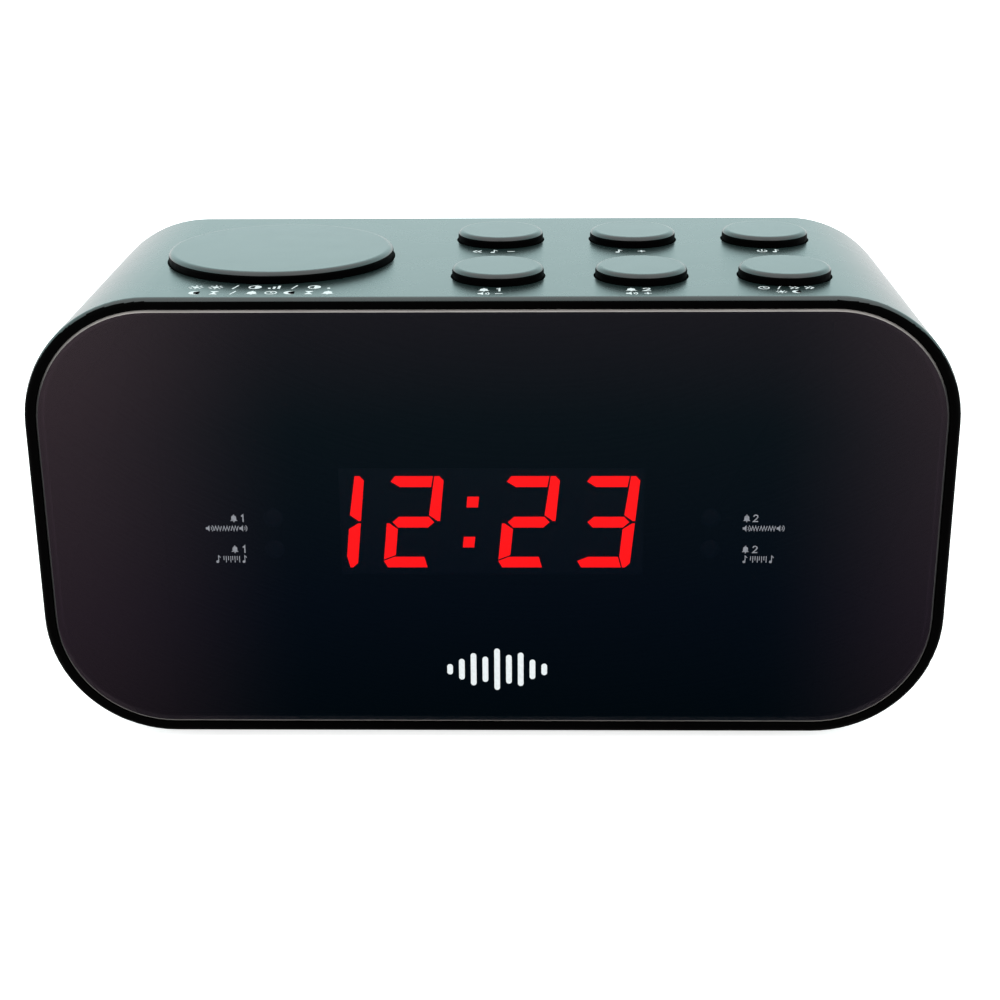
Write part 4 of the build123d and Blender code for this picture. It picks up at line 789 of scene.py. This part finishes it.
def buzz(p, u, v, s):
    teeth = [(-0.45 + 0.18 * i, 0.3 if i % 2 else -0.3) for i in range(6)]
    stroke(p, scaled(teeth, u, v, s), 0.11 * s)


def scale_marks(p, u, v, s):
    for i in range(4):
        low = -0.42 if i % 2 else -0.12
        stroke(p, scaled([(-0.42 + 0.28 * i, 0.42), (-0.42 + 0.28 * i, low)], u, v, s), 0.10 * s)


def sun(p, u, v, s):
    disc(p, u, v, 0.20 * s)
    for i in range(8):
        t = math.radians(45 * i)
        a, b = (0.30 * math.cos(t), 0.30 * math.sin(t)), (0.48 * math.cos(t), 0.48 * math.sin(t))
        stroke(p, scaled([a, b], u, v, s), 0.09 * s)


def moon(p, u, v, s):
    outer = arc_points(0, 0, 0.44, 60, 300, 16)
    inner = arc_points(0.26, 0, 0.385, 278, 82, 14)
    p.outline(scaled(outer + inner, u, v, s))


def half_disc(p, u, v, s):
    ring(p, u, v, 0.38 * s, 0.10 * s)
    p.outline(arc_points(u, v, 0.33 * s, -90, 90, 12))


def levels(p, u, v, s, count=3):
    for i in range(count):
        x = -0.32 + 0.3 * i
        stroke(p, scaled([(x, -0.42), (x, -0.18 + 0.28 * i)], u, v, s), 0.17 * s)


def low_level(p, u, v, s):
    levels(p, u, v, s, 1)


def clock(p, u, v, s):
    ring(p, u, v, 0.40 * s, 0.10 * s)
    stroke(p, scaled([(0, 0.26), (0, 0), (0.18, -0.10)], u, v, s), 0.09 * s)


def glass(p, u, v, s):
    p.outline(scaled([(-0.30, 0.44), (0.30, 0.44), (0.04, 0.0), (-0.04, 0.0)], u, v, s))
    p.outline(scaled([(-0.04, -0.01), (0.04, -0.01), (0.30, -0.44), (-0.30, -0.44)], u, v, s))


def slash(p, u, v, s):
    stroke(p, scaled([(-0.14, -0.46), (0.14, 0.46)], u, v, s), 0.10 * s)


def plus(p, u, v, s):
    stroke(p, scaled([(-0.30, 0), (0.30, 0)], u, v, s), 0.13 * s)
    stroke(p, scaled([(0, -0.30), (0, 0.30)], u, v, s), 0.13 * s)


def minus(p, u, v, s):
    stroke(p, scaled([(-0.30, 0), (0.30, 0)], u, v, s), 0.13 * s)


def onward(p, u, v, s, way=1):
    for shift in (-0.24, 0.12):
        chevron = [(way * (shift - 0.08), 0.36), (way * (shift + 0.20), 0), (way * (shift - 0.08), -0.36)]
        stroke(p, scaled(chevron, u, v, s), 0.12 * s)


def back(p, u, v, s):
    onward(p, u, v, s, -1)


def power(p, u, v, s):
    arc(p, u, v, 0.36 * s, 0.11 * s, 125, 415)
    stroke(p, scaled([(0, 0.02), (0, 0.46)], u, v, s), 0.12 * s)


def row(p, icons, left, right, v, size):
    """Spreads pictograms evenly between two ends."""
    step = (right - left - size) / max(len(icons) - 1, 1)
    for i, icon in enumerate(icons):
        icon(p, left + size / 2 + step * i, v, size)


def ink(name, colour, other):
    """Screen ink: a little uneven, with pinholes."""
    material, tree, shader, coords = new_material(name)
    patches = tree.remap(tree.noise(coords, 0.5 * MM, 3.0), 0.4, 0.7, smooth=True)
    tree.put(shader.inputs["Base Color"], tree.mix(patches, rgb(*colour), rgb(*other)))
    tree.put(shader.inputs["Roughness"], tree.remap(tree.noise(coords, 0.3 * MM), 0.3, 0.7, 0.5, 0.65))
    tree.put(shader.inputs["Normal"], tree.bump(tree.noise(coords, 0.12 * MM, 2.0), 0.006 * MM))
    return material


def on_lens(u, v, height):
    return Vector((u, FRONT_Y - height, MIDDLE_Z + v)) * MM


def on_top(u, depth, height):
    return Vector((u, FRONT_Y + depth, MIDDLE_Z + HALF_HEIGHT + height)) * MM


def print_lens():
    """Beside the two pairs of indicator lamps: bell and number, then buzzer or music, as (height, width, icons)."""
    p = Print(on_lens)
    icon_size = 1.25
    for number, near, side in ((one, -37.4, -1), (two, 38.2, 1)):
        for v, wide, icons in (
            (1.05, 2.6, (bell, number)),
            (-0.6, 6.4, (horn, buzz, buzz, buzz, horn)),
            (-4.05, 2.7, (bell, number)),
            (-5.7, 5.3, (note, scale_marks, scale_marks, note)),
        ):
            ends = (near - wide, near) if side < 0 else (near, near + wide)
            row(p, icons, *ends, v, icon_size)
    p.finish("lens_legends", ink("grey_ink", (0.15, 0.155, 0.175), (0.11, 0.115, 0.13)))


def print_mark():
    """A plain row of sound-level bars, low in the middle of the lens."""
    p = Print(on_lens)
    heights = (1.8, 3.6, 5.6, 4.4, 7.2, 5.0, 5.8, 3.4, 2.0)
    middle_u, middle_v, pitch, half_width = 0.7, -24.4, 1.85, 0.45
    for i, height in enumerate(heights):
        u, reach = middle_u + pitch * (i - 4), height / 2 - half_width
        upper_end = arc_points(u, middle_v + reach, half_width, 0, 180, 8)
        lower_end = arc_points(u, middle_v - reach, half_width, 180, 360, 8)
        p.outline(upper_end + lower_end)
    p.finish("lens_mark", ink("white_ink", (0.52, 0.55, 0.56), (0.47, 0.50, 0.51)))


def print_top():
    """In front of each key, pictograms of what it does: from left to right, then depth behind the front and size."""
    p = Print(on_top)
    row(p, (sun, sun, slash, half_disc, levels, slash, half_disc, low_level), -45.2, -22.2, 6.6, 2.3)
    row(p, (moon, glass, slash, bell, clock, moon, glass, bell), -44.7, -22.9, 3.2, 2.1)
    row(p, (back, note, minus), -3.6, 3.8, 30.2, 2.0)
    row(p, (note, plus), 19.2, 24.8, 30.2, 2.0)
    row(p, (power, note), 42.2, 46.4, 30.2, 2.0)
    row(p, (bell, one), -1.9, 2.2, 4.7, 1.9)
    row(p, (horn, minus), -1.9, 2.2, 2.4, 1.8)
    row(p, (bell, two), 19.9, 24.1, 4.7, 1.9)
    row(p, (horn, plus), 19.9, 24.1, 2.4, 1.8)
    row(p, (clock, slash, onward, onward), 39.6, 48.2, 5.6, 1.9)
    row(p, (sun, moon), 42.0, 46.0, 3.2, 1.7)
    p.finish("top_legends", ink("top_ink", (0.54, 0.58, 0.58), (0.46, 0.50, 0.50)))


# ---------------------------------------------------------------- making


bpy.context.scene.view_settings.view_transform = "Standard"
make_camera()
make_world()
make_floor()
paint_nodes()
paint_front()
paint_key_side_shade()
paint_wires()
print_lens()
print_mark()
print_top()
